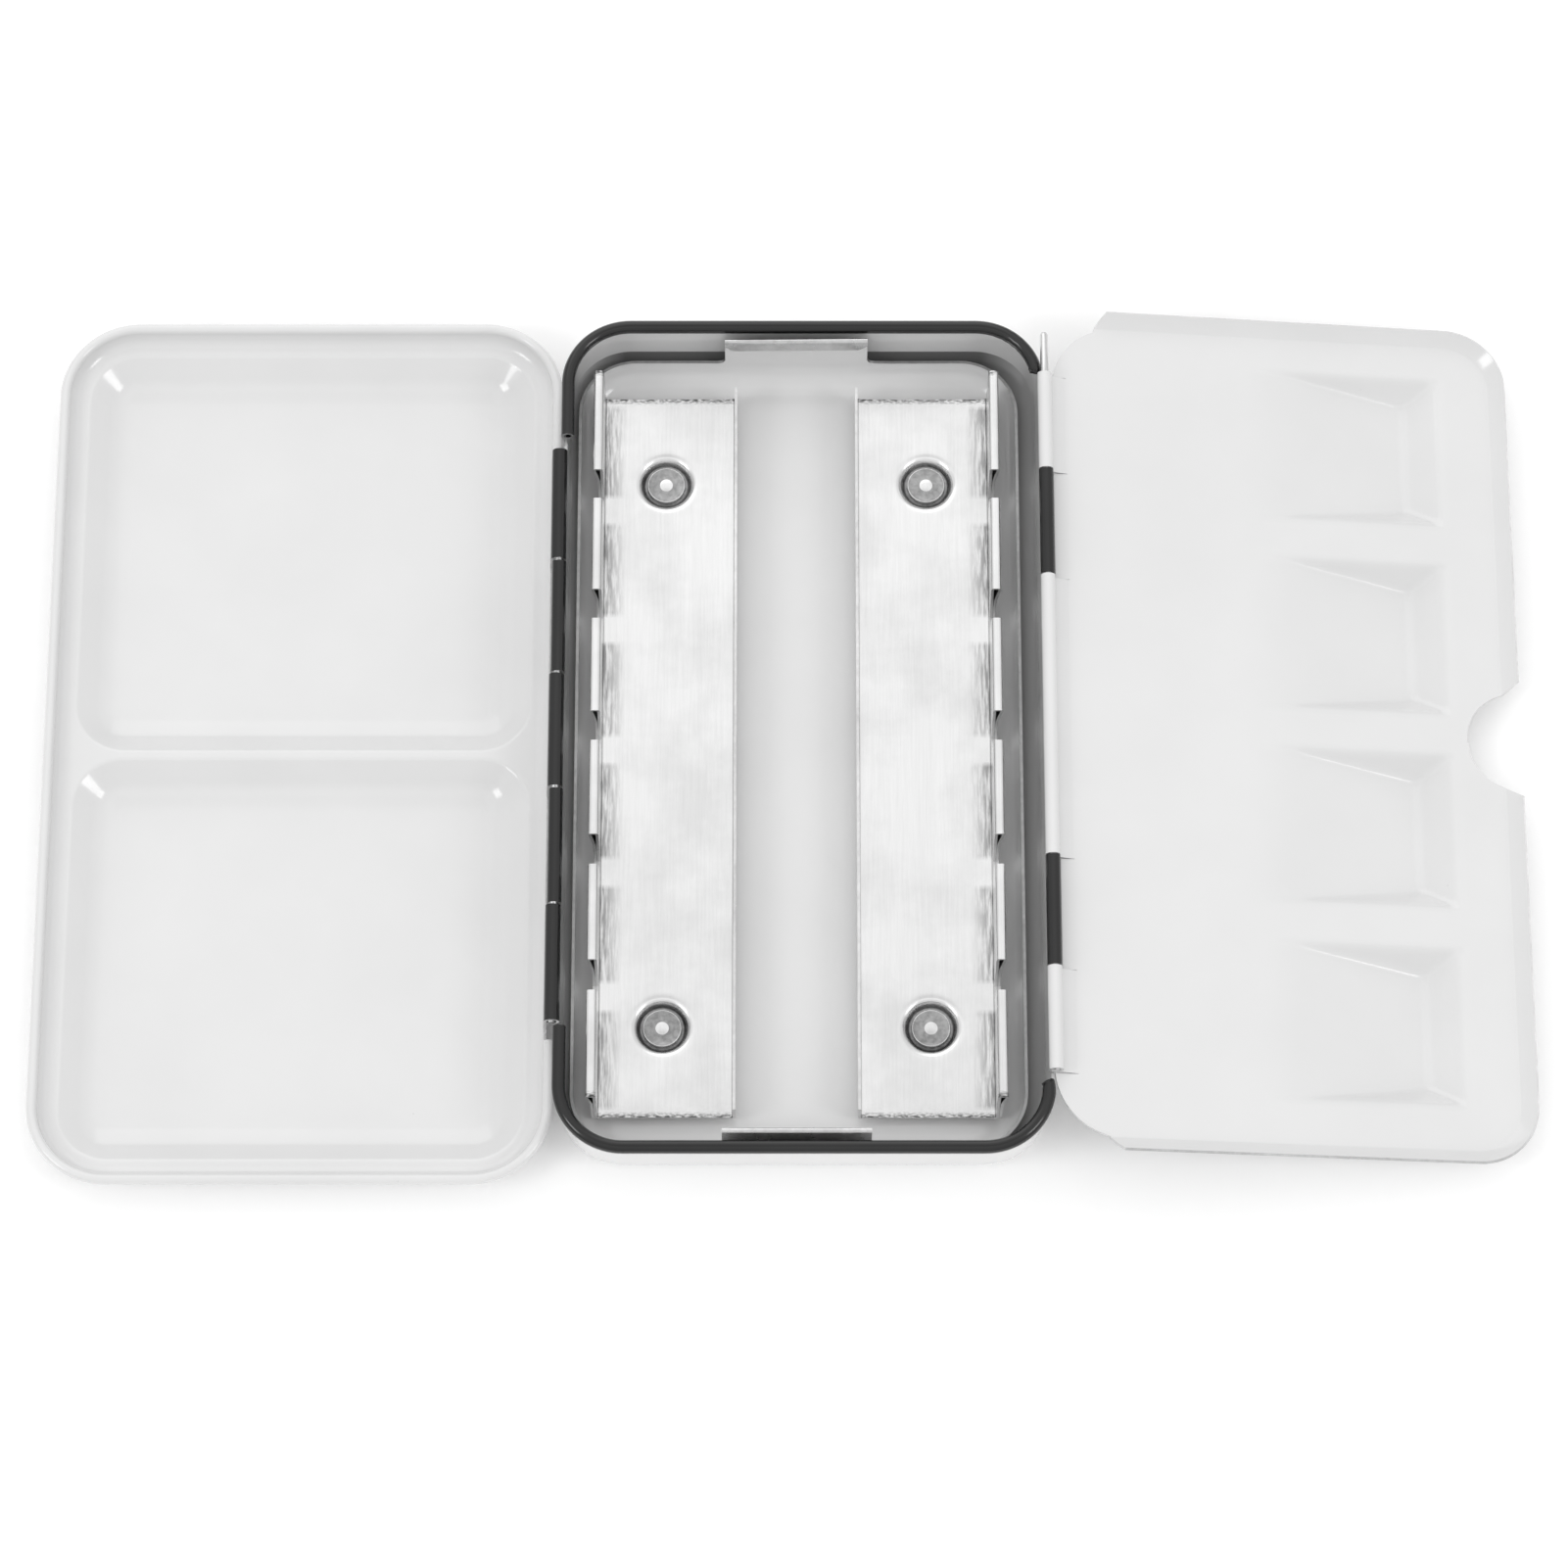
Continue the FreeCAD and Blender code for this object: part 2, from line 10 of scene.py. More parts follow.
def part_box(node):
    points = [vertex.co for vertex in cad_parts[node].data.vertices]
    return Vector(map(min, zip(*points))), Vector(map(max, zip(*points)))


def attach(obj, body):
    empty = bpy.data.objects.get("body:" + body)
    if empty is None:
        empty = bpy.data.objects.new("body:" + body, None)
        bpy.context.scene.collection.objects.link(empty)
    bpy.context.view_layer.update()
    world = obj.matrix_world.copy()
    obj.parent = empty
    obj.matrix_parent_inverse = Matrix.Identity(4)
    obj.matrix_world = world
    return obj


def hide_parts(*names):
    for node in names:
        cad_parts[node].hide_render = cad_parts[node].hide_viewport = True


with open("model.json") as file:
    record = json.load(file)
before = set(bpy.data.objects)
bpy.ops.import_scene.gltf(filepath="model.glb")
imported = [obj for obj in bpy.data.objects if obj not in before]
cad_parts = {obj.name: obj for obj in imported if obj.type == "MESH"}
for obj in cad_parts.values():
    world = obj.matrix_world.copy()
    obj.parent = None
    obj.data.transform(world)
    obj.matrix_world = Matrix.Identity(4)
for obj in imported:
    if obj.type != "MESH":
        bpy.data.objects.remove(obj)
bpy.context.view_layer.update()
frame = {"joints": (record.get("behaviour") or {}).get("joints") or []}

# Folding enamelled palette tin, open. All sizes below are millimetres; meshes are made in metres.
MM = 0.001
SHEET = 0.4

# --- what the frame says ---------------------------------------------------------------------


def box_mm(node):
    low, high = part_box(node)
    return [v / MM for v in low], [v / MM for v in high]


joints = {j["name"]: j for j in frame["joints"]}
lid_axis = [v / MM for v in joints["lid_hinge"]["pos_m"]]
flap_axis = [v / MM for v in joints["flap_hinge"]["pos_m"]]
droop = joints["flap_hinge"]["range_deg"][1] - 180
base_high = box_mm("base_shell")[1]
liner_low, liner_high = box_mm("liner_pan")
lid_low, lid_high = box_mm("lid")
flap_low, flap_high = box_mm("mixing_flap")

# --- sizes of the looks ----------------------------------------------------------------------
# base shell
RIM_X = -lid_axis[0] - 0.2   # half the base over its curled rim
RIM_Y = base_high[1]
BASE_TOP = 12.7
BASE_CORNER = 9.5
CURL = 0.7                   # mid-line radius of the curled rim
CURL_TURN = 300              # degrees that the curl goes round
WALL_IN = 0.5                # mid-line of the wall, inside the rim outline
WALL_DRAFT = 0.4
WALL_BOW = 0.08              # the wall at the lid's cut lies this much further in
BASE_ROUND = 4.8
BASE_FLAT = 0.8              # width of the flat ring inside the bottom's round
FLARE_START = 10.4           # height where the wall starts to flare out to the curl
LID_CUT = 8.65               # top of the wall under the lid's hinge
FLAP_CUT = 11.95             # top of the wall under the flap's hinge
LID_ZONE = (-42.9, 43.0)
FLAP_ZONE = (-50.4, 52.4)
RIM_TAPER = 1.8              # length over which the curl runs out beside the flap's hinge
RIM_LEFT = 0.12              # share of the curl that is left there

# hinges
KNUCKLE = 0.85               # mid-line radius of the lid hinge's knuckles
KNUCKLE_END = 0.16           # each knuckle of the looks ends this far inside its pitch
FLAP_KNUCKLE = 0.8
LID_SPAN = 16.7
LID_SPANS = [(LID_SPAN * (k - 2.5) + KNUCKLE_END, LID_SPAN * (k - 1.5) - KNUCKLE_END) for k in range(5)]
FLAP_WIDTHS = (14.6, 15.7, 40.8, 15.7, 14.6)
FLAP_MID = 1.3
FLAP_KNUCKLE_GAP = 0.075     # each flap knuckle ends this far inside its pitch
SLIT = 0.05                  # saw cut in the plate beside each flap knuckle

# liner pan
LINER_CORNER = 8.0
LINER_BEND = 3.4
LINER_TOP = 4.5
TAB_X = -0.95                # middle of the two finger tabs
TAB_HALF = 9.95
TAB_FILLET = 1.1
TAB_HEM = 0.2                # radius of the folded edge on top of a tab

# lid
LID_TOP = 6.2
LID_WALL = 1.2               # lid outline to the middle of its upright wall
LID_STRAP_TOP = 7.2          # where a hinge strap turns into its knuckle
LID_CORNER = 11.0
BEAD = 0.5                   # mid-line radius of the lid's rolled rim
LID_LEDGE = 3.3
LID_ROUND = 2.1
WELL_BORDER = 3.9            # lid outline to the edge of a well
WELL_RUN = 4.2
WELL_FLOOR = 0.2
WELL_CORNER = 7.0
WELL_SHARE = 0.509           # share of the lid's inside length taken by the far well
WELL_RIDGE = 1.0
WELL_LAND = 0.38             # the ledge starts to bend this far outside a well's edge
WELL_TOP_ROUND = 0.8
WELL_FOOT_ROUND = 7.0

# mixing flap, in its own level frame: u from the hinge's axis, h above the mixing face
FLAP_DROP = 1.3              # the mixing face lies this far under the hinge's axis
FLAP_SHIFT = (flap_low[1] + flap_high[1]) / 2
FLAP_HALF = (flap_high[1] - flap_low[1]) / 2
FLAP_REACH = 65.5
LIP_RUN = 2.1
LIP_RISE = 1.6
LIP_START = 7.3
LIP_SLANT = 1.55             # the lip's top edge starts this much further out than its foot
LIP_LAND = 1.0               # flat strip of the plate that belongs to the lip
PLATE_EDGE = 1.3             # distance of the plate's edge from the hinge's axis
PLATE_RAMP = 3.2             # distance from the axis where the plate ramps up to a knuckle
PLATE_CORNER = 6.4
HINGE_CORNER = 9.0
NEAR_CORNER = 9.5            # near hinge corner of the plate, which reaches out to the hinge's axis
THUMB = 7.0
THUMB_DEPTH = 7.3
THUMB_CHAMFER = 1.3
SLANT_START = 31.0           # a slanted well starts, is deepest and ends at these distances from the axis
SLANT_DEEP = 51.8
SLANT_END = 56.2
SLANT_DEPTH = 3.3
SLANT_HALF = 11.2
SLANT_SIDE = 3.2
SLANT_PITCH = 28.1
SLANT_SHIFT = 0.7

# pan-holder trays
TRAY_FLOOR = 2.4             # middle of the floor's sheet
TRAY_HALF_Y = 52.8
TRAY_BEND = 0.45
PAN_PITCH = 17.85
NOTCH_TOP = 4.35
NOTCH_FOOT = 2.0
TAB_SIDE = 3.2               # from a notch's middle to the next point along a spring tab
CUP_Y = 39.9
CUP_MOUTH = 4.9
CUP_FLOOR = 1.0
CUP_STEPS = 56


# --- mesh helpers ----------------------------------------------------------------------------


def arc(cx, cz, radius, start, end, steps):
    """Points (x, z) on an arc, angles in degrees."""
    points = []
    for k in range(steps + 1):
        a = radians(start + (end - start) * k / steps)
        points.append((cx + radius * cos(a), cz + radius * sin(a)))
    return points


def outline(x0, x1, y0, y1, radius, corner_steps=22, stops=(), corner_stop=None):
    """Rounded rectangle as (x, y, normal x, normal y), counter-clockwise from the right side.

    stops: extra y values on both straight sides. corner_stop: one more y inside the far right corner.
    """
    inner = sorted(s for s in stops if y0 + radius < s < y1 - radius)
    ring = [(x1, s, 1.0, 0.0) for s in inner]
    centres = ((x1 - radius, y1 - radius), (x0 + radius, y1 - radius),
               (x0 + radius, y0 + radius), (x1 - radius, y0 + radius))
    for number, (cx, cy) in enumerate(centres):
        angles = [90 * number + 90 * k / corner_steps for k in range(corner_steps + 1)]
        if number == 0 and corner_stop is not None:
            angles = sorted(angles + [degrees(asin((corner_stop - cy) / radius))])
        for angle in angles:
            a = radians(angle)
            ring.append((cx + radius * cos(a), cy + radius * sin(a), cos(a), sin(a)))
        if number == 1:
            ring += [(x0, s, -1.0, 0.0) for s in reversed(inner)]
    return ring


class Skin:
    """Collects the faces of one pressed sheet's middle surface."""

    def __init__(self, place=None):
        self.bm = bmesh.new()
        self.place = place or (lambda x, y, z: (x, y, z))

    def vert(self, x, y, z):
        return self.bm.verts.new([v * MM for v in self.place(x, y, z)])

    def face(self, verts, slot=0):
        face = self.bm.faces.new(verts)
        face.material_index = slot
        return face

    def grid(self, rows, keep=None, slot=None, wrap=False):
        """Faces between rows of points. keep(row, column) and slot(row, column) pick and paint faces."""
        verts = [[self.vert(*p) for p in row] for row in rows]
        count = len(rows[0])
        for r in range(len(rows) - 1):
            for c in range(count if wrap else count - 1):
                if keep and not keep(r, c):
                    continue
                d = (c + 1) % count
                self.face([verts[r][c], verts[r][d], verts[r + 1][d], verts[r + 1][c]],
                          slot(r, c) if slot else 0)
        return verts

    def loft(self, ring, path, **options):
        """Sweep a path of (inset, z) round a closed outline."""
        rows = [[(x - nx * inset, y - ny * inset, z) for x, y, nx, ny in ring] for inset, z in path]
        return self.grid(rows, wrap=True, **options)

    def along_y(self, path, y0, y1, slot=0):
        """A bent strip: a path of (x, z) from y0 to y1."""
        return self.grid([[(x, y0, z), (x, y1, z)] for x, z in path], slot=lambda r, c: slot)

    def flat(self, loops, z, slot=0):
        """Flat sheet at height z inside loops[0] and outside the other loops."""
        points = []
        edges = []
        for loop in loops:
            first = len(points)
            points += [Vector((x, y)) for x, y in loop]
            edges += [(first + k, first + (k + 1) % len(loop)) for k in range(len(loop))]
        found, _, faces, _, _, _ = delaunay_2d_cdt(points, edges, [], 0, 1e-6)
        verts = {}
        for face in faces:
            middle = sum((found[k] for k in face), Vector((0, 0))) / len(face)
            if not inside(middle, loops[0]) or any(inside(middle, hole) for hole in loops[1:]):
                continue
            for k in face:
                if k not in verts:
                    verts[k] = self.vert(found[k].x, found[k].y, z)
            self.face([verts[k] for k in face], slot)

    def sheet(self, name, materials, thickness=SHEET, up=(0, 0, 1), backs=0, edges=None, sharp=35):
        """Weld, thicken and turn into an object. backs and edges: slot steps of back and cut edge."""
        bmesh.ops.remove_doubles(self.bm, verts=self.bm.verts, dist=0.004 * MM)
        loose = [v for v in self.bm.verts if not v.link_faces]
        bmesh.ops.delete(self.bm, geom=loose, context="VERTS")
        bmesh.ops.recalc_face_normals(self.bm, faces=self.bm.faces)
        self.bm.normal_update()
        facing = sum((f.normal * f.calc_area() for f in self.bm.faces), Vector())
        if facing.dot(Vector(up)) < 0:
            bmesh.ops.reverse_faces(self.bm, faces=self.bm.faces)
        obj = self.object(name, materials)
        solid = obj.modifiers.new("sheet", "SOLIDIFY")
        solid.thickness = thickness * MM
        solid.offset = 0
        solid.use_even_offset = True
        solid.thickness_clamp = 0
        solid.use_rim = True
        solid.material_offset = backs
        solid.material_offset_rim = len(materials) - 1 if edges is None else edges
        return applied(obj, sharp)

    def object(self, name, materials):
        mesh = bpy.data.meshes.new(name)
        self.bm.to_mesh(mesh)
        self.bm.free()
        for material in materials:
            mesh.materials.append(material)
        obj = bpy.data.objects.new(name, mesh)
        bpy.context.scene.collection.objects.link(obj)
        return obj


def applied(obj, sharp=35):
    """Apply the modifiers, then shade smooth with sharp edges above an angle."""
    graph = bpy.context.evaluated_depsgraph_get()
    mesh = bpy.data.meshes.new_from_object(obj.evaluated_get(graph))
    obj.modifiers.clear()
    obj.data = mesh
    mesh.name = obj.name
    mesh.shade_smooth()
    mesh.set_sharp_from_angle(angle=radians(sharp))
    return obj


def inside(point, loop):
    """Whether a point lies in a closed loop of (x, y)."""
    hit = False
    for k in range(len(loop)):
        (x0, y0), (x1, y1) = loop[k - 1], loop[k]
        if (y0 > point.y) != (y1 > point.y):
            if point.x < x0 + (point.y - y0) * (x1 - x0) / (y1 - y0):
                hit = not hit
    return hit


def shrunk(ring, inset):
    return [(x - nx * inset, y - ny * inset) for x, y, nx, ny in ring]


def smooth_max(a, b, k):
    h = max(k - abs(a - b), 0.0) / k
    return max(a, b) + h * h * k / 4


def smooth_min(a, b, k):
    return -smooth_max(-a, -b, k)


def lathe(name, profile, x, y, materials, steps=64, slot=None):
    """Round piece about an upright axis: a profile of (radius, z) from the axis outwards."""
    skin = Skin()
    rows = [[(x + r * cos(2 * pi * k / steps), y + r * sin(2 * pi * k / steps), z) for k in range(steps)]
            for r, z in profile[1:-1]]
    rings = skin.grid(rows, wrap=True, slot=slot)
    for ring, z, row in ((rings[0], profile[0][1], -1), (rings[-1], profile[-1][1], len(rows))):
        centre = skin.vert(x, y, z)
        for k in range(steps):
            skin.face([ring[k], ring[(k + 1) % steps], centre], slot(row, k) if slot else 0)
    bmesh.ops.recalc_face_normals(skin.bm, faces=skin.bm.faces)
    obj = skin.object(name, materials)
    obj.data.shade_smooth()
    obj.data.set_sharp_from_angle(angle=radians(40))
    return obj


# --- materials -------------------------------------------------------------------------------


def material(name, **sockets):
    mat = bpy.data.materials.new(name)
    mat.use_nodes = True
    shader = mat.node_tree.nodes["Principled BSDF"]
    for key, value in sockets.items():
        shader.inputs[key.replace("_", " ")].default_value = value
    return mat, mat.node_tree, shader


def node(tree, kind, links=(), **values):
    """A shader node. values set inputs by name or properties; links are (input, output socket)."""
    made = tree.nodes.new(kind)
    for key, value in values.items():
        if hasattr(made, key):
            setattr(made, key, value)
        else:
            made.inputs[key.replace("_", " ")].default_value = value
    for key, output in links:
        tree.links.new(output, made.inputs[key])
    return made


def texture(tree, scale, stretch=(1, 1, 1), detail=4.0, roughness=0.55, kind="ShaderNodeTexNoise"):
    """Noise in object space, features about 1/scale metres, drawn out by stretch."""
    place = node(tree, "ShaderNodeTexCoord")
    mapped = node(tree, "ShaderNodeMapping", [("Vector", place.outputs["Object"])])
    mapped.inputs["Scale"].default_value = stretch
    made = node(tree, kind, [("Vector", mapped.outputs["Vector"])], Scale=scale)
    if kind == "ShaderNodeTexNoise":
        made.inputs["Detail"].default_value = detail
        made.inputs["Roughness"].default_value = roughness
    return made


def ramp(tree, source, stops):
    made = node(tree, "ShaderNodeValToRGB", [("Fac", source)])
    elements = made.color_ramp.elements
    while len(elements) < len(stops):
        elements.new(0.5)
    for element, (place, value) in zip(elements, stops):
        element.position = place
        element.color = (value, value, value, 1) if isinstance(value, (int, float)) else (*value, 1)
    return made


def mixed(tree, factor, a, b, blend="MIX"):
    """Colour mix; a and b are sockets or grey values."""
    made = node(tree, "ShaderNodeMix", data_type="RGBA", blend_type=blend)
    if isinstance(factor, (int, float)):
        made.inputs[0].default_value = factor
    else:
        tree.links.new(factor, made.inputs[0])
    for place, value in ((6, a), (7, b)):
        if isinstance(value, (int, float)):
            made.inputs[place].default_value = (value, value, value, 1)
        elif isinstance(value, tuple):
            made.inputs[place].default_value = (*value, 1)
        else:
            tree.links.new(value, made.inputs[place])
    return made.outputs[2]


def bump(tree, shader, heights):
    """heights: (socket, strength, distance in mm) applied one on the other."""
    normal = None
    for socket, strength, distance in heights:
        made = node(tree, "ShaderNodeBump", [("Height", socket)], Strength=strength)
        made.inputs["Distance"].default_value = distance * MM
        if normal:
            tree.links.new(normal, made.inputs["Normal"])
        normal = made.outputs["Normal"]
    tree.links.new(normal, shader.inputs["Normal"])


def band(tree, value, stops):
    """Grey from a coordinate in metres; stops are (coordinate in mm, grey)."""
    low, high = stops[0][0] * MM, stops[-1][0] * MM
    made = node(tree, "ShaderNodeMapRange", [("Value", value)], From_Min=low, From_Max=high)
    places = [((p * MM - low) / (high - low), v) for p, v in stops]
    return ramp(tree, made.outputs["Result"], places).outputs["Color"]


def enamel(name, low, high, roughness=(0.14, 0.22), specks=0.55, coat=0.5, sides=None):
    """Stoved white or black enamel: faint orange peel, slight unevenness, a few dust specks.

    low and high: darkest and lightest grey. sides: grey that it changes to towards both long sides.
    """
    mat, tree, shader = material(name, Coat_Weight=coat, Coat_Roughness=0.05, IOR=1.5)
    cloud = texture(tree, 55, detail=3)
    tone = ramp(tree, cloud.outputs["Fac"], ((0.3, low), (0.7, high)))
    dust = texture(tree, 260, kind="ShaderNodeTexVoronoi")
    spot = ramp(tree, dust.outputs["Distance"], ((0.0, 1.0), (0.035, 0.0)))
    rare = texture(tree, 420, detail=1)
    pick = ramp(tree, rare.outputs["Fac"], ((0.60, 0.0), (0.66, 1.0)))
    fleck = mixed(tree, 1.0, spot.outputs["Color"], pick.outputs["Color"], "MULTIPLY")
    colour = mixed(tree, fleck, tone.outputs["Color"], specks)
    if sides:
        place = node(tree, "ShaderNodeTexCoord")
        axes = node(tree, "ShaderNodeSeparateXYZ", [("Vector", place.outputs["Object"])])
        share = band(tree, axes.outputs["X"], ((-32, 1), (-25, 0), (25, 0), (32, 1)))
        colour = mixed(tree, share, colour, sides)
    tree.links.new(colour, shader.inputs["Base Color"])
    patch = texture(tree, 140, detail=5)
    rough = ramp(tree, patch.outputs["Fac"], ((0.3, roughness[0]), (0.75, roughness[1])))
    tree.links.new(rough.outputs["Color"], shader.inputs["Roughness"])
    peel = texture(tree, 900, detail=2)
    wave = texture(tree, 70, detail=1)
    bump(tree, shader, ((peel.outputs["Fac"], 0.12, 0.02), (wave.outputs["Fac"], 0.5, 0.05)))
    return mat


def painted_tab_reflection_and_end_shadow(tree, colour):
    """Darker brushed strips on the floor beside the spring tabs, painted reflections of the tabs, and a
    darker ragged line along both cut ends, a painted shadow and reflection of the burred edge.
    """
    place = node(tree, "ShaderNodeTexCoord")
    ragged = texture(tree, 1.0, stretch=(2600, 260, 2600), detail=3)
    axes = node(tree, "ShaderNodeSeparateXYZ", [("Vector", place.outputs["Object"])])
    # Painted reflection: a darker streaky strip on the floor beside each outer spring tab.
    strip = band(tree, axes.outputs["X"], ((-28, 1), (-27.3, 1), (-24.6, 0), (22.7, 0), (25.4, 1), (26, 1)))
    pitch = node(tree, "ShaderNodeMath", [("Value", axes.outputs["Y"])], operation="PINGPONG")
    pitch.inputs[1].default_value = PAN_PITCH / 2 * MM
    beside = band(tree, pitch.outputs["Value"], ((0, 0), (1.7, 0), (2.5, 1), (PAN_PITCH / 2, 1)))
    height = band(tree, axes.outputs["Z"], ((0, 1), (2.9, 1), (3.4, 0), (13, 0)))
    patch = mixed(tree, 1.0, mixed(tree, 1.0, strip, beside, "MULTIPLY"), height, "MULTIPLY")
    streak = ramp(tree, ragged.outputs["Fac"], ((0.36, 0.1), (0.6, 0.8)))
    patch = mixed(tree, 1.0, patch, streak.outputs["Color"], "MULTIPLY")
    # Painted shadow and reflection: a darker ragged line along both burred cut ends.
    side = node(tree, "ShaderNodeMath", [("Value", axes.outputs["Y"])], operation="ABSOLUTE")
    ends = band(tree, side.outputs["Value"],
                ((50, 0), (TRAY_HALF_Y - 0.9, 0.05), (TRAY_HALF_Y - 0.2, 1), (54, 1)))
    torn = texture(tree, 1.0, stretch=(1500, 4000, 1500), detail=4)
    end_shadow_streak = ramp(tree, torn.outputs["Fac"], ((0.4, 0.15), (0.58, 1.0)))
    end_shadow = mixed(tree, 1.0, ends, end_shadow_streak.outputs["Color"], "MULTIPLY")
    return mixed(tree, end_shadow, mixed(tree, patch, colour, 0.18), 0.08)


def bare_metal(name, low, high, roughness, grain=(3000, 120, 3000), depth=0.25, marks=False):
    """Rolled tinplate or wire with fine grain drawn out along one direction."""
    mat, tree, shader = material(name, Metallic=1.0)
    lines = texture(tree, 1.0, stretch=grain, detail=5, roughness=0.7)
    broad = texture(tree, 1.0, stretch=tuple(g / 9 for g in grain), detail=3)
    cloud = texture(tree, 90, detail=4)
    fine = ramp(tree, lines.outputs["Fac"], ((0.35, low), (0.65, high)))
    soft = ramp(tree, broad.outputs["Fac"], ((0.3, low), (0.7, high)))
    both = mixed(tree, 0.45, fine.outputs["Color"], soft.outputs["Color"])
    stain = ramp(tree, cloud.outputs["Fac"], ((0.35, 0.88), (0.6, 1.0)))
    colour = mixed(tree, 1.0, both, stain.outputs["Color"], "MULTIPLY")
    # marks adds painted reflections beside the spring tabs and a painted shadow line along the cut ends.
    tree.links.new(painted_tab_reflection_and_end_shadow(tree, colour) if marks else colour, shader.inputs["Base Color"])
    rough = ramp(tree, broad.outputs["Fac"], ((0.25, roughness[0]), (0.75, roughness[1])))
    tree.links.new(rough.outputs["Color"], shader.inputs["Roughness"])
    bump(tree, shader, ((lines.outputs["Fac"], depth, 0.012), (broad.outputs["Fac"], 0.3, 0.03)))
    return mat


white = enamel("white_enamel", 0.71, 0.735)
black = enamel("black_enamel", 0.004, 0.009, roughness=(0.1, 0.2), specks=0.12, coat=0.1)
# Painted shade: the base's floor and lower bend are darkened for the shadow in the deep gap under the liner,
# lighter towards both long sides.
gap_shade_paint = enamel("painted_gap_shade", 0.14, 0.18, roughness=(0.3, 0.45), specks=0.3, sides=0.6)
raw_edge = bare_metal("cut_sheet_edge", 0.6, 0.85, (0.25, 0.4), grain=(900, 900, 400), depth=0.4)
# The trays' tinplate carries painted reflections beside the spring tabs and a painted shadow line at the cut
# ends.
tin = bare_metal("tinplate", 0.78, 0.86, (0.2, 0.27), marks=True)
bare_back = bare_metal("liner_back", 0.5, 0.72, (0.2, 0.34), grain=(700, 700, 700))
dull_edge = bare_metal("trimmed_edge", 0.32, 0.5, (0.35, 0.5), grain=(900, 900, 400), depth=0.4)
wire = bare_metal("drawn_wire", 0.6, 0.78, (0.18, 0.3), grain=(2500, 150, 2500))
button = bare_metal("struck_button", 0.2, 0.5, (0.3, 0.48), grain=(1500, 1500, 1500), depth=0.7)

# --- base shell ------------------------------------------------------------------------------


def base_path_low():
    """Floor to the lowest cut: (inset, z) of the middle of the sheet."""
    foot = WALL_IN + WALL_DRAFT
    centre = foot + BASE_ROUND
    floor = SHEET / 2
    path = [(centre + BASE_FLAT, floor)]
    path += [(centre - BASE_ROUND * sin(radians(a)), floor + BASE_ROUND * (1 - cos(radians(a))))
             for a in range(0, 91, 9)]
    path.append((WALL_IN + WALL_BOW, LID_CUT))
    return path


def rim_path(curl):
    """Upper wall and curled rim; curl 0 is a straight cut wall, 1 the whole curl."""
    z_mid = BASE_TOP - SHEET / 2 - CURL
    flare = (WALL_IN - SHEET / 2) * curl
    path = [(WALL_IN + WALL_BOW, LID_CUT), (WALL_IN, FLARE_START)]
    for k in range(1, 6):
        t = k / 6
        path.append((WALL_IN - flare * (3 * t * t - 2 * t ** 3), FLARE_START + (z_mid - FLARE_START) * t))
    turn = CURL_TURN * curl
    path += [(WALL_IN - flare + CURL * (1 - cos(radians(turn * k / 24))),
              z_mid + CURL * sin(radians(turn * k / 24))) for k in range(25)]
    return path


def build_base():
    ring = base_ring()
    # The third slot paints shade on the floor and the lower bend, for the shadow in the gap between the liner
    # and the wall.
    in_white, in_black, in_shade = range(3)
    skin = Skin()
    low = base_path_low()
    skin.loft(ring, low, slot=lambda r, c: in_shade if r < len(low) - 3 else in_white)
    skin.flat([shrunk(ring, low[0][0])], low[0][1], slot=in_shade)
    # Upper wall and rim, column by column, so that the rim can taper at the flap's hinge. Rows of the
    # path: black from black_row, cut off from wall_rows in the flap's zone, crimped past crimp_row.
    black_row, wall_rows, crimp_row = 5, 7, 10
    columns = []
    for x, y, nx, ny in ring:
        curl = rim_share(x, y)
        crimp = rim_crimp(x, y)
        path = [(inset + crimp * (k > crimp_row), z) for k, (inset, z) in enumerate(rim_path(curl))]
        columns.append([(x - nx * inset, y - ny * inset, z) for inset, z in path])
    rows = [[column[k] for column in columns] for k in range(len(columns[0]))]
    count = len(ring)

    def keep(r, c):
        x = (ring[c][0] + ring[(c + 1) % count][0]) / 2
        y = (ring[c][1] + ring[(c + 1) % count][1]) / 2
        if x < 0:
            return not LID_ZONE[0] < y < LID_ZONE[1]
        return r < wall_rows or not FLAP_ZONE[0] < y < FLAP_ZONE[1]

    def tone(r, c):
        x, y = ring[c][:2]
        black_from = 1 if x > 0 and FLAP_ZONE[0] < y < FLAP_ZONE[1] else black_row
        return in_black if r >= black_from else in_white

    skin.grid(rows, keep=keep, slot=tone, wrap=True)
    for y0, y1 in LID_SPANS[1::2]:
        path = [(-RIM_X + WALL_IN + WALL_BOW, LID_CUT)]
        path += arc(lid_axis[0] + 0.12, lid_axis[2], KNUCKLE - 0.07, 0, 322, 30)
        skin.along_y(path, y0, y1, slot=in_black)
    for y0, y1 in flap_spans()[1::2]:
        path = [(RIM_X - WALL_IN, FLAP_CUT - 0.2)]
        path += arc(flap_axis[0], flap_axis[2], FLAP_KNUCKLE, 180, -142, 30)
        skin.along_y(path, y0, y1, slot=in_black)
    fronts = [white, black, gap_shade_paint]
    backs = [white, black, white]
    obj = skin.sheet("base_pressing", fronts + backs + [raw_edge] * 3, backs=3, edges=6)
    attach(obj, "base")
    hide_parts("base_shell")


def base_ring():
    """The rim's outline with extra points at the hinge cuts and where the curl runs out."""
    extra = [*LID_ZONE, *FLAP_ZONE]
    for end, away in ((FLAP_ZONE[0], -1), (LID_ZONE[0], -1), (LID_ZONE[1], 1)):
        extra += [end + away * RIM_TAPER * k / 5 for k in range(1, 6)]
    return outline(-RIM_X, RIM_X, -RIM_Y, RIM_Y, BASE_CORNER, stops=extra, corner_stop=FLAP_ZONE[1])


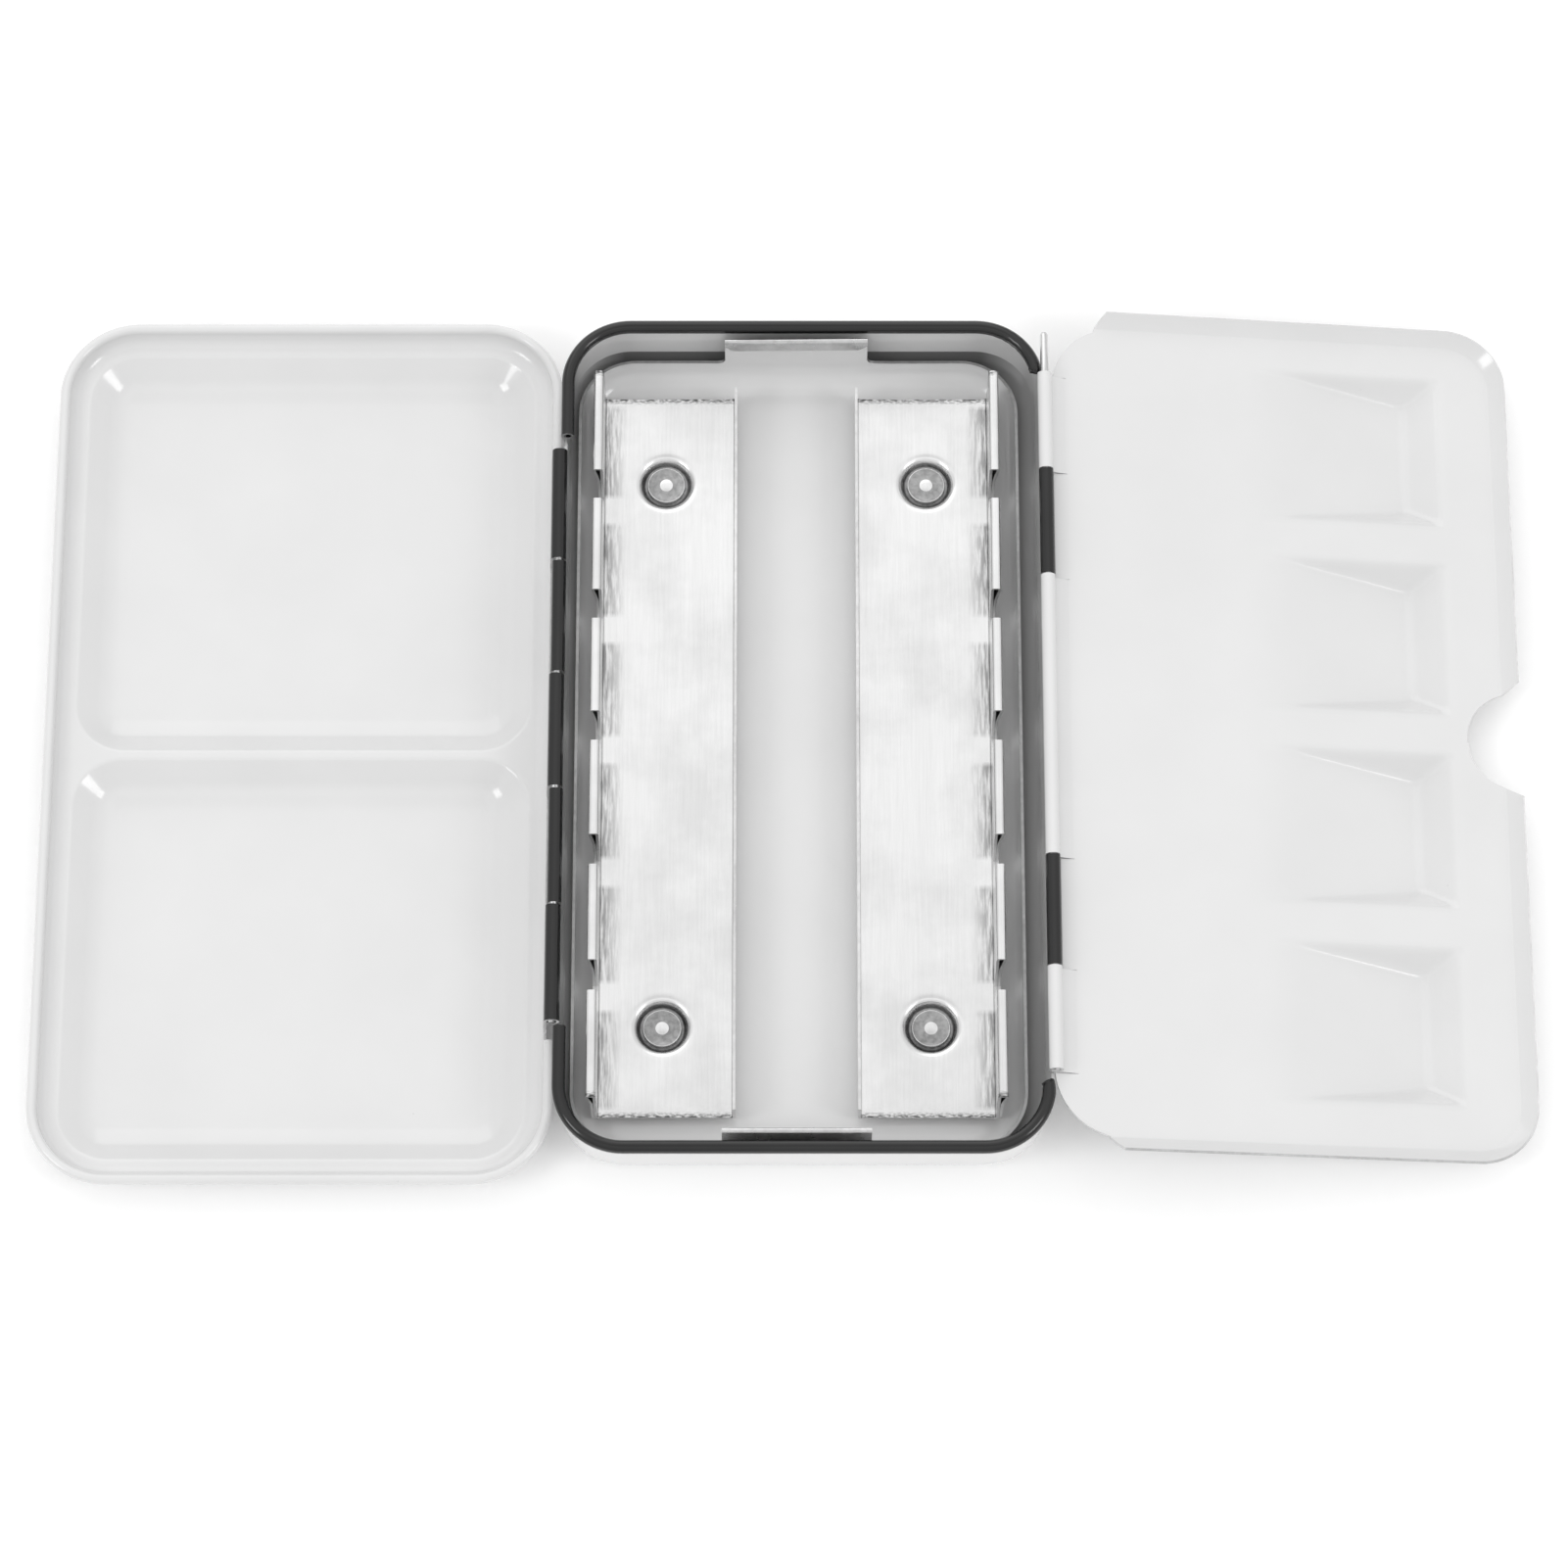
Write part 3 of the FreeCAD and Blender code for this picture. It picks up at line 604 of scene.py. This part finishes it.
def rim_share(x, y):
    """How much of the curl is left: it runs out at both ends of the flap's hinge."""
    if x < 0:
        return 1.0
    past = max(y - FLAP_ZONE[1], FLAP_ZONE[0] - y)
    share = max(0.0, min(1.0, past / RIM_TAPER))
    return RIM_LEFT + (1 - RIM_LEFT) * share ** 0.7


def rim_crimp(x, y):
    """Small pressing wrinkles in the far right corner of the rim."""
    if x < 0 or y < RIM_Y - BASE_CORNER:
        return 0.0
    turn = degrees(atan2(y - (RIM_Y - BASE_CORNER), x - (RIM_X - BASE_CORNER)))
    near = max(0.0, 1 - abs(turn - 48) / 22)
    return 0.07 * near * sin(radians(turn * 45))


def flap_spans():
    """(y, y) of the five knuckles on the flap's side, from near to far."""
    spans = []
    place = FLAP_MID - sum(FLAP_WIDTHS) / 2
    for width in FLAP_WIDTHS:
        spans.append((place + FLAP_KNUCKLE_GAP, place + width - FLAP_KNUCKLE_GAP))
        place += width
    return spans


# --- liner pan -------------------------------------------------------------------------------


def build_liner():
    x0, x1 = liner_low[0], liner_high[0]
    y1 = liner_high[1]
    ring = outline(x0, x1, -y1, y1, LINER_CORNER, corner_steps=16)
    # Points along the two ends where the tabs rise.
    marks = [TAB_X + side * (TAB_HALF + extra) for side in (-1, 1)
             for extra in (0, 0.25, 0.55, TAB_FILLET, 3, 6, 10)]
    ring = with_x_stops(ring, marks)
    floor = liner_low[2] + SHEET / 2
    path = [(SHEET / 2 + LINER_BEND + 0.9, floor)]
    path += [(SHEET / 2 + LINER_BEND - LINER_BEND * sin(radians(a)) + 0.25 * (1 - a / 90),
              floor + LINER_BEND * (1 - cos(radians(a)))) for a in range(0, 91, 9)]
    skin = Skin()
    rows = []
    for inset, z in path:
        rows.append([(x - nx * inset, y - ny * inset, z) for x, y, nx, ny in ring])
    # Trimmed top edge, a little uneven.
    edge = []
    for x, y, nx, ny in ring:
        lift = LINER_TOP + 0.16 * noise.noise((x * 0.09, y * 0.09, 3.0)) + 0.05 * noise.noise((x, y, 7.0))
        if abs(abs(y) - y1) < 0.01 and abs(x - TAB_X) < TAB_HALF + TAB_FILLET + 0.001:
            reach = abs(x - TAB_X) - TAB_HALF
            lift = LINER_TOP + TAB_FILLET
            if reach > 0:
                lift -= sqrt(max(0, TAB_FILLET ** 2 - (TAB_FILLET - reach) ** 2))
        edge.append((x - nx * SHEET / 2, y - ny * SHEET / 2, lift))
    rows.append(edge)
    skin.grid(rows, wrap=True)
    skin.flat([shrunk(ring, path[0][0])], floor)
    for side in (-1, 1):
        wall = side * (y1 - SHEET / 2)
        crown = liner_high[2] - SHEET / 2 - TAB_HEM
        rise = [(wall, LINER_TOP + TAB_FILLET), (wall, 8.0)]
        turn = [(wall - side * TAB_HEM * (1 - cos(radians(a))), crown + TAB_HEM * sin(radians(a)))
                for a in range(0, 181, 30)]
        leaf = [(wall - side * 0.42, crown - 0.8), (wall - side * 0.46, crown - 2.0)]
        rows = []
        for number, (y, z) in enumerate(rise + turn + leaf):
            # The folded leaf's last row is narrower, and the far tab's fold lies a little askew.
            cut = 1.2 if number == len(rise) + len(turn) + 1 else 0.0
            tilt = 0.35 * side if number >= len(rise) else 0.0
            row = []
            for k in range(9):
                share = k / 8
                x = TAB_X + (2 * share - 1) * (TAB_HALF - cut)
                row.append((x, y, z + tilt * (share - 1) * (side > 0)))
            rows.append(row)
        skin.grid(rows)
    obj = skin.sheet("liner_pressing", [white, bare_back, dull_edge], backs=1, edges=2, sharp=30)
    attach(obj, "base")
    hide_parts("liner_pan")


def with_x_stops(ring, marks):
    """Add points to the two straight ends of an outline."""
    made = []
    for k, (x, y, nx, ny) in enumerate(ring):
        made.append((x, y, nx, ny))
        x2, y2 = ring[(k + 1) % len(ring)][:2]
        if abs(y - y2) < 1e-6 and abs(x - x2) > 5:
            stops = [m for m in marks if min(x, x2) + 0.01 < m < max(x, x2) - 0.01]
            for m in sorted(stops, reverse=x2 < x):
                made.append((m, y, 0.0, ny))
    return made


# --- pan-holder trays ------------------------------------------------------------------------


def build_tray(name, side, node_name):
    low, high = box_mm(node_name)
    centre = (low[0] + high[0]) / 2
    half = (high[0] - low[0]) / 2
    top = high[2]
    mid = SHEET / 2
    in_x = -half + mid
    leaf_x = half - 1.4 + mid
    fold = 0.5
    tight = 0.3
    notch_floor = TRAY_FLOOR + mid + 1.6
    inner_top = TRAY_FLOOR + mid + 3.9
    inner = [(in_x, inner_top), (in_x, TRAY_FLOOR + TRAY_BEND)]
    inner += arc(in_x + TRAY_BEND, TRAY_FLOOR + TRAY_BEND, TRAY_BEND, 180, 270, 5)[1:]
    outer = arc(leaf_x - TRAY_BEND, TRAY_FLOOR + TRAY_BEND, TRAY_BEND, 270, 360, 5)
    outer += [(leaf_x, notch_floor), (leaf_x, 6.0), (leaf_x, top - mid - fold)]
    outer += arc(leaf_x + tight, top - mid - tight, tight, 180, 90, 5)[1:]
    outer += arc(leaf_x + 2 * fold - tight, top - mid - tight, tight, 90, 0, 5)
    outer += [(leaf_x + 0.72, 10.4), (leaf_x + 0.47, 9.0), (leaf_x + 0.42, 7.0), (leaf_x + 0.42, notch_floor),
              (leaf_x + 0.42, TRAY_FLOOR + 0.1)]

    def skew(z):
        """Half the width of a notch between two spring tabs at height z."""
        share = max(0.0, min(1.0, (z - notch_floor) / (top - notch_floor)))
        return (NOTCH_FOOT + (NOTCH_TOP - NOTCH_FOOT) * share) / 2

    def columns(z):
        """Places along the tray: four round each notch, and both ends."""
        places = [-TRAY_HALF_Y]
        for k in range(1, 6):
            y = (k - 3) * PAN_PITCH
            places += [y - TAB_SIDE, y - skew(z), y + skew(z), y + TAB_SIDE]
        return places + [TRAY_HALF_Y]

    skin = Skin()
    for path in (inner, outer):
        rows = []
        for x, z in path:
            row = []
            for number, y in enumerate(columns(z if path is outer else 0)):
                loose = number > 0 and z > 6
                sway = 0.05 * noise.noise((x + centre, y * 0.2, z)) if loose else 0
                row.append((centre + side * (x + sway), y, z))
            rows.append(row)

        def keep(r, c, path=path):
            if path is inner:
                return True
            notch = c % 4 == 2
            return not (notch and min(path[r][1], path[r + 1][1]) >= notch_floor - 0.01)

        skin.grid(rows, keep=keep)
    # Floor with a burred cut at both ends and a hole for each fixing cup.
    floor_in, floor_out = inner[-1][0], outer[0][0]
    sides = columns(0)
    count = 26
    across = floor_in - floor_out
    loop = [(centre + side * floor_out, y) for y in sides]
    loop += [(centre + side * (floor_out + across * k / count), TRAY_HALF_Y + burr(k, 1, side))
             for k in range(1, count)]
    loop += [(centre + side * floor_in, y) for y in reversed(sides)]
    loop += [(centre + side * (floor_in - across * k / count), -TRAY_HALF_Y - burr(k, 2, side))
             for k in range(1, count)]

    def circle(radius, end):
        angles = [2 * pi * k / CUP_STEPS for k in range(CUP_STEPS)]
        return [(centre + radius * cos(a), end * CUP_Y + radius * sin(a)) for a in angles]

    skin.flat([loop] + [circle(CUP_MOUTH, end) for end in (-1, 1)], TRAY_FLOOR)
    # Past a given row of the profile the cup's bottom gets the button's dull metal, as painted shade and dirt
    # down in the cup.
    profile = [(CUP_MOUTH, TRAY_FLOOR), (4.6, 2.395), (4.3, 2.37), (4.05, 2.31), (3.85, 2.2), (3.7, 2.04),
               (3.58, 1.84), (3.47, 1.6), (3.36, 1.36), (3.24, 1.16), (3.08, 1.04), (2.85, CUP_FLOOR),
               (2.3, CUP_FLOOR), (1.55, CUP_FLOOR)]
    painted_shade_row = 7
    for end in (-1, 1):
        rows = [[(x, y, z) for x, y in circle(radius, end)] for radius, z in profile]
        skin.grid(rows, wrap=True, slot=lambda r, c: int(r > painted_shade_row))
    obj = skin.sheet(name, [tin, button, raw_edge, raw_edge], edges=2, thickness=SHEET * 0.98, sharp=38)
    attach(obj, "base")
    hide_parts(node_name)
    for end, word in ((-1, "near"), (1, "far")):
        build_button(centre, end * CUP_Y, "tray_rivet_%s_%s" % ("left" if side < 0 else "right", word))


def burr(k, seed, side):
    """How far point k of a tray's cut end lies inside the straight cut."""
    return 0.09 * noise.noise((k * 1.7, seed * 5.0, side * 3.0)) - 0.09


def build_button(x, y, node_name):
    """Rivet head: dished, with a small domed centre and a rounded rim."""
    low, high = box_mm(node_name)
    radius = (high[0] - low[0]) / 2
    top = high[2]
    edge = 0.16
    profile = [(0, top), (0.3, top - 0.006), (0.6, top - 0.024), (0.9, top - 0.07), (1.3, top - 0.13),
               (1.8, top - 0.14), (2.15, top - 0.09), (radius - edge - 0.04, top - 0.01)]
    profile += [(radius - edge + edge * sin(radians(a)), top - edge + edge * cos(radians(a)))
                for a in (0, 22, 45, 68, 90)]
    profile += [(radius - 0.05, top - 0.68), (1.5, top - 0.7), (1.5, 0.45), (1.0, 0.42), (0, 0.42)]
    # The domed centre and the rim's top get the brighter tinplate as painted highlights, the rest is dull.
    obj = lathe(node_name + "_button", profile, x, y, [button, tin], slot=lambda r, c: int(r < 2 or r == 7))
    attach(obj, "base")
    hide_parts(node_name)


# --- lid -------------------------------------------------------------------------------------


def build_lid():
    x1 = lid_axis[0] - KNUCKLE + 1.0
    x0 = lid_low[0]
    y1 = lid_high[1]
    ring = outline(x0, x1, -y1, y1, LID_CORNER, stops=LID_ZONE)
    count = len(ring)
    arc_in = LID_WALL + LID_ROUND
    path = [(arc_in + 0.05, LID_LEDGE)]
    path += [(arc_in - LID_ROUND * sin(radians(a)), LID_LEDGE + LID_ROUND * (1 - cos(radians(a))))
             for a in range(0, 91, 6)]
    wall_rows = len(path) - 1
    bead_z = LID_TOP - SHEET / 2 - BEAD
    path += [(LID_WALL - BEAD + BEAD * cos(radians(a)), bead_z + BEAD * sin(radians(a)))
             for a in range(15, 301, 15)]

    def keep(r, c):
        x = ring[c][0] + ring[(c + 1) % count][0]
        y = (ring[c][1] + ring[(c + 1) % count][1]) / 2
        in_hinge = x > x0 + x1 and LID_ZONE[0] < y < LID_ZONE[1]
        return r < wall_rows or not in_hinge

    skin = Skin()
    skin.loft(ring, path, keep=keep)
    far = y1 - WELL_BORDER
    near = -far
    ridge = far - (far - near) * WELL_SHARE
    holes = []
    brim, foot = (0, LID_LEDGE), (WELL_RUN, WELL_FLOOR)
    for y0, y2 in ((near, ridge - WELL_RIDGE / 2), (ridge + WELL_RIDGE / 2, far)):
        well = outline(x0 + WELL_BORDER, x1 - WELL_BORDER, y0, y2, WELL_CORNER, corner_steps=20)
        holes.append(shrunk(well, -WELL_LAND))
        rows = [(-WELL_LAND, LID_LEDGE)]
        rows += rounded_corner(rows[0], brim, foot, WELL_TOP_ROUND, 7)
        rows += rounded_corner(brim, foot, (WELL_RUN + 6, WELL_FLOOR), WELL_FOOT_ROUND, 12)
        rows += [(rows[-1][0] + 0.4, WELL_FLOOR)]
        skin.loft(well, rows)
        skin.flat([shrunk(well, rows[-1][0])], WELL_FLOOR)
    skin.flat([shrunk(ring, path[0][0])] + holes, LID_LEDGE)
    strap_x = x1 - LID_WALL
    for y0, y2 in LID_SPANS[0::2]:
        skin.along_y([(strap_x, path[wall_rows][1]), (strap_x, LID_STRAP_TOP)], y0, y2)
        knuckle = [(strap_x, LID_STRAP_TOP)] + arc(lid_axis[0], lid_axis[2], KNUCKLE, 180, -142, 30)
        skin.along_y(knuckle, y0, y2, slot=1)
    obj = skin.sheet("lid_pressing", [white, black, raw_edge, raw_edge], edges=2, sharp=35)
    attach(obj, "lid")
    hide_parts("lid")


def rounded_corner(before, corner, after, radius, steps):
    """Points of a rounded bend in a path."""
    ax, az = before[0] - corner[0], before[1] - corner[1]
    bx, bz = after[0] - corner[0], after[1] - corner[1]
    la, lb = hypot(ax, az), hypot(bx, bz)
    angle = acos(max(-1, min(1, (ax * bx + az * bz) / (la * lb))))
    reach = min(radius / tan(angle / 2), lb * 0.49, la * 0.95)
    start = (corner[0] + ax / la * reach, corner[1] + az / la * reach)
    end = (corner[0] + bx / lb * reach, corner[1] + bz / lb * reach)
    points = []
    for k in range(steps + 1):
        t = k / steps
        points.append(((1 - t) ** 2 * start[0] + 2 * t * (1 - t) * corner[0] + t * t * end[0],
                       (1 - t) ** 2 * start[1] + 2 * t * (1 - t) * corner[1] + t * t * end[1]))
    return points


# --- mixing flap -----------------------------------------------------------------------------


def flap_place(u, y, h):
    """From the flap's own level frame (u from the axis, h above the mixing face) to the row frame."""
    z = h - FLAP_DROP
    a = radians(droop)
    return (flap_axis[0] + u * cos(a) + z * sin(a), y + FLAP_SHIFT, flap_axis[2] - u * sin(a) + z * cos(a))


def slant_height(u, y):
    """Depth of one slanted well under the plate, with soft bends."""
    floor = -SLANT_DEPTH * (u - SLANT_START) / (SLANT_DEEP - SLANT_START)
    end = -SLANT_DEPTH * (SLANT_END - u) / (SLANT_END - SLANT_DEEP)
    wall = -SLANT_DEPTH * (SLANT_HALF - abs(y)) / SLANT_SIDE
    depth = smooth_max(smooth_max(floor, wall, 0.6), end, 0.9)
    return smooth_min(0.0, depth, 0.5)


def build_flap():
    skin = Skin(flap_place)
    mid = -SHEET / 2
    half = FLAP_HALF - LIP_RUN
    end = FLAP_REACH - LIP_RUN
    notch_u = FLAP_REACH - THUMB_DEPTH + THUMB
    # Four wells.
    holes = []
    u_lines = [27 + 0.5 * k for k in range(64)]
    y_lines = [-12.8 + 0.4 * k for k in range(65)]
    for k in range(4):
        y_mid = SLANT_SHIFT + (k - 1.5) * SLANT_PITCH
        rows = [[(u, y_mid + y, mid + slant_height(u, y)) for y in y_lines] for u in u_lines]
        skin.grid(rows)
        loop = [(u_lines[0], y_mid + y) for y in y_lines] + [(u, y_mid + y_lines[-1]) for u in u_lines[1:]]
        loop += [(u_lines[-1], y_mid + y) for y in reversed(y_lines[:-1])]
        loop += [(u, y_mid + y_lines[0]) for u in reversed(u_lines[1:-1])]
        holes.append(loop)
    # Lip: two strips from the hinge end round a corner to the thumb notch.
    path = [(-LIP_LAND, mid), (-0.55, mid)]
    path += rounded_corner((-0.55, mid), (0, mid), (LIP_RUN, LIP_RISE + mid), 0.6, 5)
    path += [(LIP_RUN * 0.55, mid + LIP_RISE * 0.55), (LIP_RUN - 0.12, LIP_RISE - 0.09)]
    steps = 16
    lip_edges = []
    for side in (-1, 1):
        rows = []
        for spread, h in path:
            rise = max(0.0, (h - mid) / LIP_RISE)
            starts = (LIP_START + LIP_SLANT * rise, end * 0.3, end * 0.6)
            row = [(u, side * (half + spread), h) for u in starts]
            for k in range(steps + 1):
                a = radians(90 - 90 * k / steps)
                row.append((end - PLATE_CORNER + (PLATE_CORNER + spread) * cos(a),
                            side * (half - PLATE_CORNER + (PLATE_CORNER + spread) * sin(a)), h))
            row.append((end + spread, side * half * 0.5, h))
            u = end + spread
            mouth = sqrt(max(0.0, THUMB ** 2 - min(0.0, u - notch_u) ** 2)) + THUMB_CHAMFER * rise
            row.append((u, side * mouth, h))
            rows.append(row)
        skin.grid(rows)
        lip_edges.append([(u, y) for u, y, _ in rows[0]])
    # Flat plate between the lip, the notch, the hinge and the wells.
    hinge = []
    spans = [(a - FLAP_SHIFT, b - FLAP_SHIFT) for a, b in flap_spans()[0::2]]
    corner_u = PLATE_EDGE + HINGE_CORNER
    corner_y = half - HINGE_CORNER
    near_y = half - NEAR_CORNER

    def edge_u(y):
        """Distance of the plate's edge from the hinge's axis at y."""
        if y < spans[0][0]:
            return NEAR_CORNER - sqrt(NEAR_CORNER ** 2 - max(0.0, -y - near_y) ** 2)
        past = abs(y) - corner_y
        return PLATE_EDGE if past <= 0 else corner_u - sqrt(max(0.0, HINGE_CORNER ** 2 - past ** 2))

    for y0, y1 in spans:
        hinge += [(edge_u(y0 - SLIT), y0 - SLIT), (PLATE_RAMP, y0 - SLIT), (PLATE_RAMP, y0)]
        hinge += [(PLATE_RAMP, y1), (PLATE_RAMP, y1 + SLIT), (edge_u(y1 + SLIT), y1 + SLIT)]
    upper = corner_points(corner_u, corner_y, HINGE_CORNER, half, spans[-1][1])
    lower = [(u, -y) for u, y in corner_points(NEAR_CORNER, near_y, NEAR_CORNER, half, -spans[0][0])]
    first_angle = degrees(atan2(lip_edges[0][-1][1], lip_edges[0][-1][0] - notch_u)) % 360
    last_angle = degrees(atan2(lip_edges[1][-1][1], lip_edges[1][-1][0] - notch_u)) % 360
    thumb = [(notch_u + THUMB * cos(radians(a)), THUMB * sin(radians(a)))
             for a in [last_angle + (first_angle - last_angle) * k / 30 for k in range(1, 30)]]
    loop = hinge + upper + lip_edges[1] + thumb + list(reversed(lip_edges[0])) + list(reversed(lower))
    skin.flat([loop] + holes, mid)
    # Knuckles and the ramps up to them.
    for y0, y1 in spans:
        path = [(PLATE_RAMP, mid), (PLATE_RAMP - 0.35, mid + 0.02)]
        path += [(2.2, 0.0), (1.2, 0.3), (0.5, 0.49)]
        path += arc(0, FLAP_DROP, FLAP_KNUCKLE, -90, -405, 30)
        skin.along_y(path, y0, y1)
    obj = skin.sheet("flap_pressing", [white, raw_edge], edges=1, sharp=35)
    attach(obj, "mixing_flap")
    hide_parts("mixing_flap")


def corner_points(corner_u, corner_y, radius, half, hinge_y):
    """A rounded hinge corner of the plate, from past the last knuckle to the start of the lip."""
    points = []
    for k in range(1, 16):
        a = radians(90 * k / 16)
        u, y = corner_u - radius * cos(a), corner_y + radius * sin(a)
        if u < LIP_START - 0.05 and y > hinge_y + SLIT + 0.05:
            points.append((u, y))
    end_y = half if LIP_START >= corner_u else corner_y + sqrt(radius ** 2 - (corner_u - LIP_START) ** 2)
    return points + [(LIP_START, end_y)]


# --- pins ------------------------------------------------------------------------------------


def build_pin(name, node_name):
    low, high = box_mm(node_name)
    radius = (high[0] - low[0]) / 2
    x = (low[0] + high[0]) / 2
    z = (low[2] + high[2]) / 2
    steps = 32
    round_end = radius * 0.7
    profile = [(radius * 0.35, 0.0), (radius * 0.72, 0.1 * radius), (radius, round_end)]
    length = high[1] - low[1]
    stations = [(0.0001, 0.0)] + profile
    stations += [(radius, length * k / 12) for k in range(1, 12)]
    stations += [(r, length - y) for r, y in reversed(profile)] + [(0.0001, length)]
    skin = Skin()
    angles = [2 * pi * k / steps for k in range(steps)]
    rows = [[(x + r * cos(a), low[1] + y, z + r * sin(a)) for a in angles] for r, y in stations]
    skin.grid(rows, wrap=True)
    # The end rings are small enough to weld into a point.
    bmesh.ops.remove_doubles(skin.bm, verts=skin.bm.verts, dist=0.0005 * MM)
    bmesh.ops.recalc_face_normals(skin.bm, faces=skin.bm.faces)
    obj = skin.object(name, [wire])
    obj.data.shade_smooth()
    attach(obj, "base")
    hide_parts(node_name)


build_base()
build_liner()
build_tray("holder_left", -1, "pan_tray_left")
build_tray("holder_right", 1, "pan_tray_right")
build_lid()
build_flap()
build_pin("lid_wire", "lid_hinge_pin")
build_pin("flap_wire", "flap_hinge_pin")


# --- floor, light and camera -----------------------------------------------------------------


# grey of the studio by the height of the direction: 0 is level, 1 straight up
SKY = ((0.05, 0.45), (0.35, 0.78), (0.78, 0.78), (0.89, 1.0), (0.95, 0.97), (0.985, 0.7))
# name, place in metres, size in metres, watts
LIGHTS = (("back", (-0.2, 0.85, 0.55), 0.9, 1.7), ("left", (-0.73, -0.34, 0.75), 0.3, 1.4),
          ("right", (0.73, -0.34, 0.75), 0.3, 1.4))
CAMERA_TARGET = (-2.65, -8.76, 12.7)
CAMERA_DISTANCE = 766.06
CAMERA_ELEVATION = 69.5
CAMERA_LENS = 130.18


def floor_and_light():
    mesh = bpy.data.meshes.new("floor")
    size = 3.0
    corners = [(-size, -size, 0), (size, -size, 0), (size, size, 0), (-size, size, 0)]
    mesh.from_pydata(corners, [], [(0, 1, 2, 3)])
    floor = bpy.data.objects.new("floor", mesh)
    bpy.context.scene.collection.objects.link(floor)
    floor.location.z = -0.00005
    mat, tree, shader = material("floor_paper", Roughness=0.9)
    shader.inputs["Specular IOR Level"].default_value = 0.0
    shader.inputs["Base Color"].default_value = (0.95, 0.95, 0.95, 1)
    shader.inputs["Emission Color"].default_value = (1, 1, 1, 1)
    shader.inputs["Emission Strength"].default_value = 0.08
    mesh.materials.append(mat)
    world = bpy.data.worlds.new("studio")
    world.use_nodes = True
    tree = world.node_tree
    sky = tree.nodes["Background"]
    sky.inputs["Strength"].default_value = 1.12
    place = node(tree, "ShaderNodeTexCoord")
    up = node(tree, "ShaderNodeSeparateXYZ", [("Vector", place.outputs["Generated"])])
    shade = ramp(tree, up.outputs["Z"], SKY)
    tree.links.new(shade.outputs["Color"], sky.inputs["Color"])
    bpy.context.scene.world = world
    for name, place, size, power in LIGHTS:
        data = bpy.data.lights.new(name, "AREA")
        data.size = size
        data.energy = power
        light = bpy.data.objects.new(name, data)
        light.location = place
        light.rotation_euler = (-Vector(place)).to_track_quat("-Z", "Y").to_euler()
        bpy.context.scene.collection.objects.link(light)


def camera():
    target = Vector(CAMERA_TARGET) * MM
    distance = CAMERA_DISTANCE * MM
    elevation = radians(CAMERA_ELEVATION)
    data = bpy.data.cameras.new("camera")
    data.sensor_width = 36.0
    data.lens = CAMERA_LENS
    data.clip_start = 0.01
    made = bpy.data.objects.new("camera", data)
    away = Vector((0, -cos(elevation), sin(elevation)))
    made.location = target + away * distance
    made.rotation_euler = (-away).to_track_quat("-Z", "Y").to_euler()
    bpy.context.scene.collection.objects.link(made)
    bpy.context.scene.camera = made


floor_and_light()
camera()
bpy.context.scene.view_settings.view_transform = "Standard"
